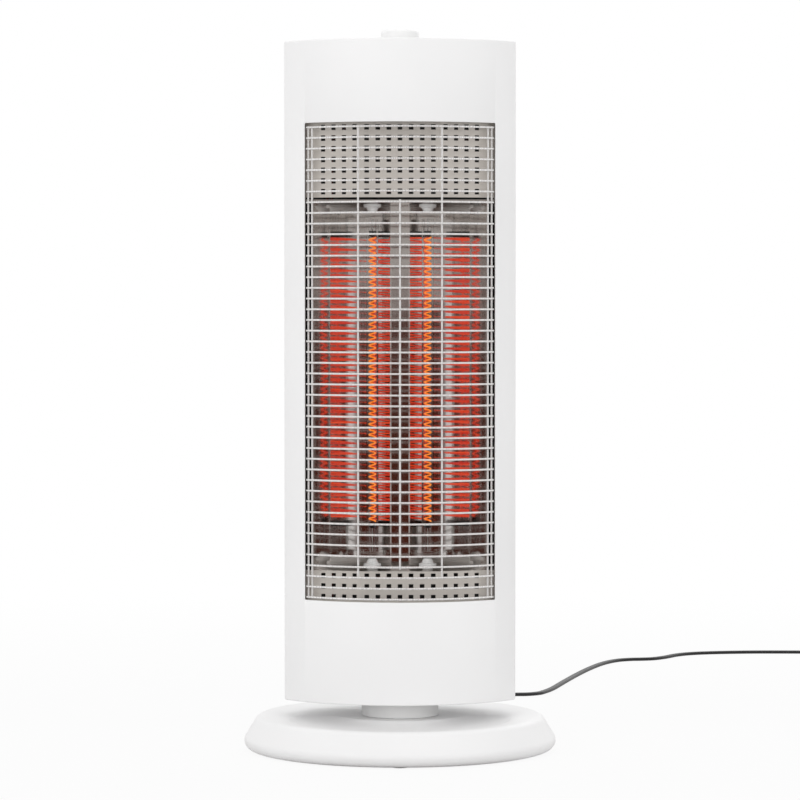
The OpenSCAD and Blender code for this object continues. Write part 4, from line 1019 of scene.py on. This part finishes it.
for side, name in ((-1, "left"), (1, "right")):
    only(spiral)
    bpy.ops.object.duplicate()
    coil = edit(bpy.context.object)
    move((side * TUBE_X * MM, TUBE_Y * MM, 0))
    settle(coil, f"carbon_coil_{name}", "heater", "carbon_glow", (f"filament_{name}",), angle=60)
bpy.data.objects.remove(spiral)

# %% [markdown]
# White ceramic caps hold the tubes at both ends: a foot on the end plate, a round flange a little
# above it, and a neck that narrows to the tube's seal.

# %% Ceramic caps
cap_line = [(AXIS_R, 0), (4.5, 0), (5, 0.5), (5, 1.4), (5.4, 1.8), (7.3, 1.9), (8, 2.6),
            (8, 4.6), (7.3, 5.3), (5.9, 5.5), (5.4, 6), (4.9, 7.4), (4, 9.2), (3.3, 9.8),
            (2.6, 10), (AXIS_R, 10)]
caps = turned(in_mm(cap_line), 40)
edit(caps)
move((TUBE_X * MM, TUBE_Y * MM, HEAT_Z0 * MM))
applied(caps, "MIRROR", use_axis=(True, False, False), use_mirror_merge=False)
only(caps)
bpy.ops.object.duplicate()
upper = edit(bpy.context.object)
resize((1, 1, -1), (0, 0, (HEAT_Z0 + HEAT_Z1) / 2 * MM))
caps = cleaned(joined(caps, only(upper)))
settle(caps, "tube_caps", "heater", "ceramic", ("ceramic_caps",))

# %% [markdown]
# The knob is a low round cap with a soft upper edge and a hollow underside.

# %% Knob
KNOB_R, KNOB_Z0, KNOB_H, KNOB_EDGE = 17.1, 635.0, 9.8, 2.6
knob_line = [(3.05, KNOB_H - 2.5), (3.05, 4), (8, 4), (8, 0.3), (8.3, 0), (16.7, 0),
             (KNOB_R, 0.4), (KNOB_R, KNOB_H - KNOB_EDGE)]
knob_line += arc(KNOB_R - KNOB_EDGE, KNOB_H - KNOB_EDGE, KNOB_EDGE, 0, 90, 8)[1:]
knob_line += [(6, KNOB_H), (AXIS_R, KNOB_H), (AXIS_R, KNOB_H)]
knob = turned(in_mm([(r, z + KNOB_Z0) for r, z in knob_line]), 96)
settle(knob, "dial_knob", "knob", "knob_plastic", ("knob",))

# %% [markdown]
# The CAD nodes that stay get their finishes by the slots that the record gives them. Each slot
# has the name of its material.

# %% Finishes of the kept nodes
for row in frame["record"]["subparts"]:
    node = nodes[row["node"]]
    node.data.materials.clear()
    node.data.materials.append(FINISHES[row["material_slot"]])

# %% [markdown]
# The stage is a plain white floor under soft light. The photograph's ground is pure white, so
# the floor and the world are white to the camera, and the floor keeps the heater's shadow. What
# polished sheet sees is a darker, slightly warm room in front of the heater and white behind it.
# All else gets its light from a plain light grey.

# %% World
SEEN_IN_FRONT, ROOM_TONE = (0.44, 0.415, 0.4), (0.75, 0.75, 0.75)
FRONT_ENDS, BACK_STARTS = -0.35, 0.3
world = bpy.data.worlds.new("studio")
bpy.context.scene.world = world
world.use_nodes = True
sky = world.node_tree
background = sky.nodes["Background"]
path = add_node(sky, "ShaderNodeLightPath")
direction = add_node(sky, "ShaderNodeTexCoord")
split = add_node(sky, "ShaderNodeSeparateXYZ")
behind = map_range(sky, FRONT_ENDS, BACK_STARTS)
around = colour_mix(sky, SEEN_IN_FRONT, PLAIN_WHITE)
room = colour_mix(sky, ROOM_TONE)
met_sheet = math_node(sky, "GREATER_THAN", ONE_MIRROR)
tone = colour_mix(sky, second=PLAIN_WHITE)
link_all(sky, [
    (direction, "Generated", split, "Vector"),
    (split, "Y", behind, "Value"),
    (behind, "Result", around, MIX_SHARE),
    (path, "Glossy Depth", met_sheet, 0),
    (met_sheet, "Value", room, MIX_SHARE),
    (around, MIX_OUT, room, MIX_B),
    (path, "Is Camera Ray", tone, MIX_SHARE),
    (room, MIX_OUT, tone, MIX_A),
    (tone, MIX_OUT, background, "Color"),
])
print("nodes of the sky", len(sky.nodes))

# %% [markdown]
# The floor is painted dark straight in front of the heater for rays that have met a mirror: a
# painted reflection of a dark studio, with a painted red glow of the heater on it. Only polished
# sheet shows that wedge. To the eye the ground is white, and brighter still far out, so that it
# meets the white sky.

# %% Floor
FLOOR_SIZE, FLOOR_TONE, NEAR_R, FAR_R, NEAR_SHARE = 2000, 0.68, 0.5, 1.6, 0.92
bpy.ops.mesh.primitive_plane_add(size=FLOOR_SIZE, location=(0, 0, 0))
floor = bpy.context.object
floor.name = "floor"
floor_tree, floor_shader = new_material("floor_paint", Roughness=0.9)
floor_shader.inputs["Base Color"].default_value = (FLOOR_TONE, FLOOR_TONE, FLOOR_TONE, 1)
floor_out = floor_tree.nodes["Material Output"]
floor_path = add_node(floor_tree, "ShaderNodeLightPath")
glow = add_node(floor_tree, "ShaderNodeEmission", Strength=1.0)
seen = math_node(floor_tree, "MAXIMUM")
share = math_node(floor_tree, "MULTIPLY")
every = math_node(floor_tree, "MAXIMUM")
blend = add_node(floor_tree, "ShaderNodeMixShader")
place_on_floor = add_node(floor_tree, "ShaderNodeTexCoord")
far_out = add_node(floor_tree, "ShaderNodeVectorMath", operation="LENGTH")
fade = map_range(floor_tree, NEAR_R, FAR_R, NEAR_SHARE, 1.0)
link_all(floor_tree, [
    (place_on_floor, "Object", far_out, 0),
    (far_out, "Value", fade, "Value"),
    (floor_path, "Is Camera Ray", seen, 0),
    (floor_path, "Is Transmission Ray", seen, 1),
    (seen, "Value", share, 0),
    (fade, "Result", share, 1),
    (share, "Value", every, 0),
    (floor_path, "Is Glossy Ray", every, 1),
    (every, "Value", blend, "Fac"),
    (floor_shader, "BSDF", blend, 1),
    (glow, "Emission", blend, 2),
    (blend, "Shader", floor_out, "Surface"),
])
print("nodes of the floor", len(floor_tree.nodes))

# %% [markdown]
# The wedge: a place on the floor is darker the less it lies to the side for how far it lies
# ahead. Only rays that have met a mirror see it.

# %% The dark wedge in front
# Painted reflection: the wedge's dark red tone, with a painted glow of the heater in it.
PAINTED_WEDGE_TONE = (0.07, 0.018, 0.011)
SLANT_FROM, SLANT_TO, SIDE_SHARE, LEAST_AHEAD = 0.5, 1.3, 0.3, 0.01
floor_split = add_node(floor_tree, "ShaderNodeSeparateXYZ")
sideways = math_node(floor_tree, "ABSOLUTE")
forward = math_node(floor_tree, "MULTIPLY", -1.0)
ahead = math_node(floor_tree, "MAXIMUM", LEAST_AHEAD)
slant = math_node(floor_tree, "DIVIDE")
wedge = map_range(floor_tree, SLANT_FROM, SLANT_TO, 1.0, SIDE_SHARE)
met_sheet = math_node(floor_tree, "GREATER_THAN", ONE_MIRROR)
in_mirror = math_node(floor_tree, "MULTIPLY")
floor_tone = colour_mix(floor_tree, PLAIN_WHITE, PAINTED_WEDGE_TONE)
link_all(floor_tree, [
    (place_on_floor, "Object", floor_split, "Vector"),
    (floor_split, "X", sideways, 0),
    (floor_split, "Y", forward, 0),
    (forward, "Value", ahead, 0),
    (sideways, "Value", slant, 0),
    (ahead, "Value", slant, 1),
    (slant, "Value", wedge, "Value"),
    (wedge, "Result", in_mirror, 0),
    (floor_path, "Glossy Depth", met_sheet, 0),
    (met_sheet, "Value", in_mirror, 1),
    (in_mirror, "Value", floor_tone, MIX_SHARE),
    (floor_tone, MIX_OUT, glow, "Color"),
])
floor.data.materials.append(FINISHES["floor_paint"])
print("nodes with the wedge", len(floor_tree.nodes))

# %% [markdown]
# Four large soft lamps light it: a key from the left, a weaker fill from the right, one above
# and one behind. Polished sheet and glass don't show the two in front.

# %% Lamps
LAMP_AIM = (0, 0, 0.3)
LAMPS = [  # name, place, size, watts, and whether sheet and glass show it
    ("key", (-1.6, -2.0, 0.95), (1.6, 1.6), 19, False),
    ("fill", (1.9, -1.7, 0.7), (1.6, 1.2), 12, False),
    ("top", (0, 0.2, 2.2), (1.8, 1.8), 7, True),
    ("rim", (0.6, 2.0, 1.4), (1.6, 1.2), 5, True),
]
for name, place, size, power, mirrored in LAMPS:
    bpy.ops.object.light_add(type="AREA", location=place)
    lamp = bpy.context.object
    lamp.name = name
    lamp.data.shape = "RECTANGLE"
    lamp.data.size, lamp.data.size_y = size
    lamp.data.energy = power
    lamp.visible_glossy = lamp.visible_transmission = mirrored
    lamp.rotation_euler = (Vector(LAMP_AIM) - Vector(place)).to_track_quat("-Z", "Y").to_euler()
    print(name, "lamp", power, "W at", place)
